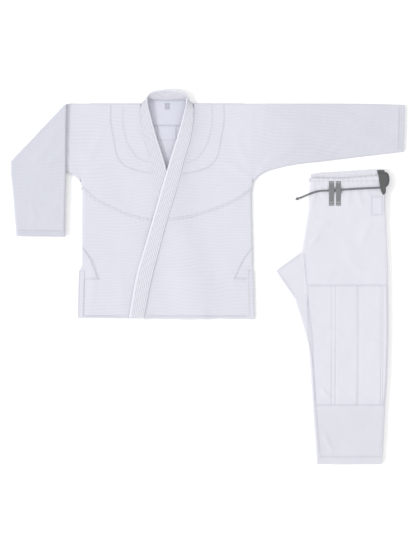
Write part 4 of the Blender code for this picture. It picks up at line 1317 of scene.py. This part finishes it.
def band_z(x, y):
    """Front of the waistband: puffed between its seam and its top edge."""
    up = np.clip((y - 321.0) / 12.0, 0.0, 1.0)
    puckered = gathers(x, np.minimum(y, 322.0)) * (1.0 - 0.5 * up)
    return WAIST_TOP + puckered + np.sin(up * math.pi) + folds(x, y, BAND_FOLDS) * 0.7


def pleats(x, y, kind):
    waves = 0.34 * np.sin(x * 0.42 + 2.4 * np.sin(x * 0.07)) + 0.2 * np.sin(x * 0.9)
    return np.clip(kind, -0.2, 1.0) * waves * smoothstep((y - 322.0) / 6.0)


def build_waist():
    for word, surface, thick in (("left", band_z, 1.8), ("right", flat_z(2.9), 1.7)):
        band = panel("waistband_front_" + word, (0.0, 1.0, 0.09), 346.0, 601.0, surface, thick, DRILL, 2.2,
                     False, lambda x, y: 321.0 + y * (band_top(x) - 321.0) + 0.5 * np.sin(x * 0.35) * y)
        fit(band, "trouser_canvas", "trousers", [word + "_front_waistband"], (0.262, 0.017), held="gathered",
            rests_on=["trousers_hips"])
    xs = np.concatenate([[352.0, 352.5, 353.5], np.arange(356.0, 598.0, 2.6), [599.5, 600.5, 601.0]])
    top = np.interp(xs, (352.0, 450.0, 581.0, 601.0), (348.0, 354.0, 363.0, 362.0))
    edge_a = np.stack([xs, np.full(len(xs), 322.5)], 1)
    edge_b = np.stack([xs, top + 0.5 * np.sin(xs * 0.4)], 1)
    for word, low, high, shape in (("left", 12.4, 17.0, pleats), ("right", 7.4, 12.0, None)):
        band = cloth_tube("waistband_back_" + word, edge_a, edge_b, low, high, 0.8, DRILL, shape)
        fit(band, "trouser_canvas", "trousers", [word + "_back_waistband"], (0.262, 0.078), held="gathered",
            rests_on=["trousers_hips"])
        middle = (low + high) / 2.0
        inside = panel("cord_in_channel_" + word, (0.0, 1.0, 0.12), 353.0, 601.1,
                       lambda x, y: middle + 1.0 + 0.25 * np.sin(x * 1.4 + np.abs(y * 6.0)), 2.0, BRAID, 2.0,
                       False, lambda x, y: 329.0 + (x - 353.0) * 16.0 / 248.0 + 12.0 * y)
        fit(inside, "drawstring_braid", "trousers", ["drawstring_in_%s_channel" % word])
    rim = [(x, band_top(x) - 2.2) for x in (350.0, 400.0, 450.0, 520.0, 577.0, 598.0)]
    sew("trousers", rim, band_z, LILAC, 3.6, 2.4)
    sew("trousers", [(350.0, 323.5), (598.0, 323.5)], band_z, LILAC, 3.6, 2.4)


# ---------------------------------------------------------------- belt loops and side patches

LOOP_REST = WAIST_TOP + 0.7
LOOP_RAISED = LOOP_REST + CORD_DIAMETER + 0.5     # over the cord
FRONT_LOOP = curve_through([    # (y, z) from below the cord to above it
    (240, LOOP_REST), (250, LOOP_REST), (266, LOOP_REST), (278, LOOP_REST + 1.0), (284, LOOP_REST + 3.6),
    (288.5, LOOP_RAISED - 0.2), (292.5, LOOP_RAISED), (296.5, LOOP_RAISED - 0.3), (301, LOOP_REST + 3.4),
    (307, LOOP_REST + 0.9), (315, LOOP_REST + 0.2), (322, LOOP_REST),
])
SIDE_LOOP = curve_through([
    (277, LOOP_REST), (284, LOOP_REST), (293, LOOP_RAISED - 0.8), (305, LOOP_RAISED),
    (316, LOOP_RAISED - 2.0), (333, LOOP_REST + 0.8), (345, LOOP_REST + 0.4), (351, 18.0), (361, 17.6),
])
SIDE_LOOP_INNER = [(277, 593), (285, 589), (297, 584.5), (313, 581.5), (334, 579), (361, 574.5)]
SIDE_LOOP_OUTER = [(277, 596), (280, 601), (285, 603.5), (300, 602.5), (309, 605), (316, 609.5), (334, 611),
                   (345, 606), (354, 601), (361, 597.5)]


def loop_strip(name, profile, left, right, mat, thick=1.0):
    """A piece of tape over a curved profile of (y, z) points, between two edges of (y, x) points."""
    path = resample(profile, 1.2)
    y = path[:, :1]
    u = np.array((0.0, 0.04, 0.12, 0.3, 0.5, 0.7, 0.88, 0.96, 1.0))
    lift = np.array((-0.3, 0.05, 0.22, 0.0, 0.05, 0.0, 0.22, 0.05, -0.3))
    a, b = [np.interp(y, *np.array(edge).T) for edge in (left, right)]
    z = path[:, 1:] + lift + 0.10 * np.sin(y * 2.2) + thick
    return shell(name, np.stack([a + (b - a) * u, y + 0.0 * z, z], -1), thick, mat)


def loop_pair(word, loop, under, flat):
    for side, piece in (("left", loop), ("right", under)):
        fit(piece, "trim_webbing", "trousers", ["%s_%s_belt_loop" % (side, word)], flat, held="laid",
            rests_on=["trousers_hips"])


def build_loops():
    profile = resample(FRONT_LOOP, 1.0)
    for word, left, right in (("outer", 411.0, 428.0), ("inner", 434.5, 451.0)):
        loop = loop_strip("belt_loop_%s_left" % word, FRONT_LOOP, [(240.0, left)], [(240.0, right)], TRIM)
        under = panel("belt_loop_%s_right" % word, (240.0, 328.0, 4.0), left, right, flat_z(0.8), 0.7, TRIM,
                      4.0)
        loop_pair(word, loop, under, (0.019, 0.094))
        for y in (244.0, 251.5, 317.5):
            for row in (-1.1, 0.0, 1.1):
                sew("trousers", [(left + 1.5, y + row), (right - 1.5, y + row)],
                    lambda x, y: np.interp(y, *profile.T) + 1.05, TACK_THREAD, 1.5, 1.3, 1.1, 0.35)
    # the side loop gets the darker tape: painted shade where it humps over the cord
    loop = loop_strip("belt_loop_side_left", SIDE_LOOP, SIDE_LOOP_INNER, SIDE_LOOP_OUTER, TRIM_PAINTED_SHADE)
    under = panel("belt_loop_side_right", (277.0, 361.0, 4.0), 580.0, 600.6, flat_z(0.8), 0.7, TRIM, 4.0)
    loop_pair("side", loop, under, (0.021, 0.092))

    over = lambda x, y: trouser_z(x, y) + 0.9
    for word, outer, surface, thick, step in (("left", 597.0, over, 1.0, 2.5),
                                              ("right", 600.0, flat_z(0.8), 0.7, 6.0)):
        patch = panel("side_patch_" + word, (206.0, 275.0, 3.0), 552.0, outer, surface, thick, DRILL, step)
        fit(patch, "trouser_canvas", "trousers", [word + "_side_patch"], (0.048, 0.069), held="laid",
            rests_on=["trousers_hips"])
    for gap in (2.0, 5.0):
        low_x, high_x, low_y, high_y = 552 + gap, 595 - gap, 206 + gap, 273 - gap
        box = [(low_x, low_y), (high_x, low_y), (high_x, high_y), (low_x, high_y), (low_x, low_y)]
        for side in zip(box, box[1:]):
            sew("trousers", side, over, LILAC, 3.6, 2.4)


def main():
    build_stage()
    build_cord()
    build_back()
    build_right_front()
    build_left_front()
    build_left_sleeve()
    build_right_sleeve()
    build_collar()
    build_hips()
    build_leg("left", 9.2, LEG_TOP, False)
    build_leg("right", 1.0, 8.8, True)
    build_knee_patches()
    build_waist()
    build_loops()
    for body, mat, slot in (("jacket", LILAC, "pearl_weave"), ("jacket", WHITE_THREAD, "pearl_weave"),
                            ("trousers", LILAC, "trouser_canvas"),
                            ("trousers", WHITE_THREAD, "trouser_canvas"),
                            ("trousers", TACK_THREAD, "trim_webbing"),
                            ("jacket", GREY_THREAD, "pearl_weave")):
        fit(make_stitches(body, mat), slot, body)


main()
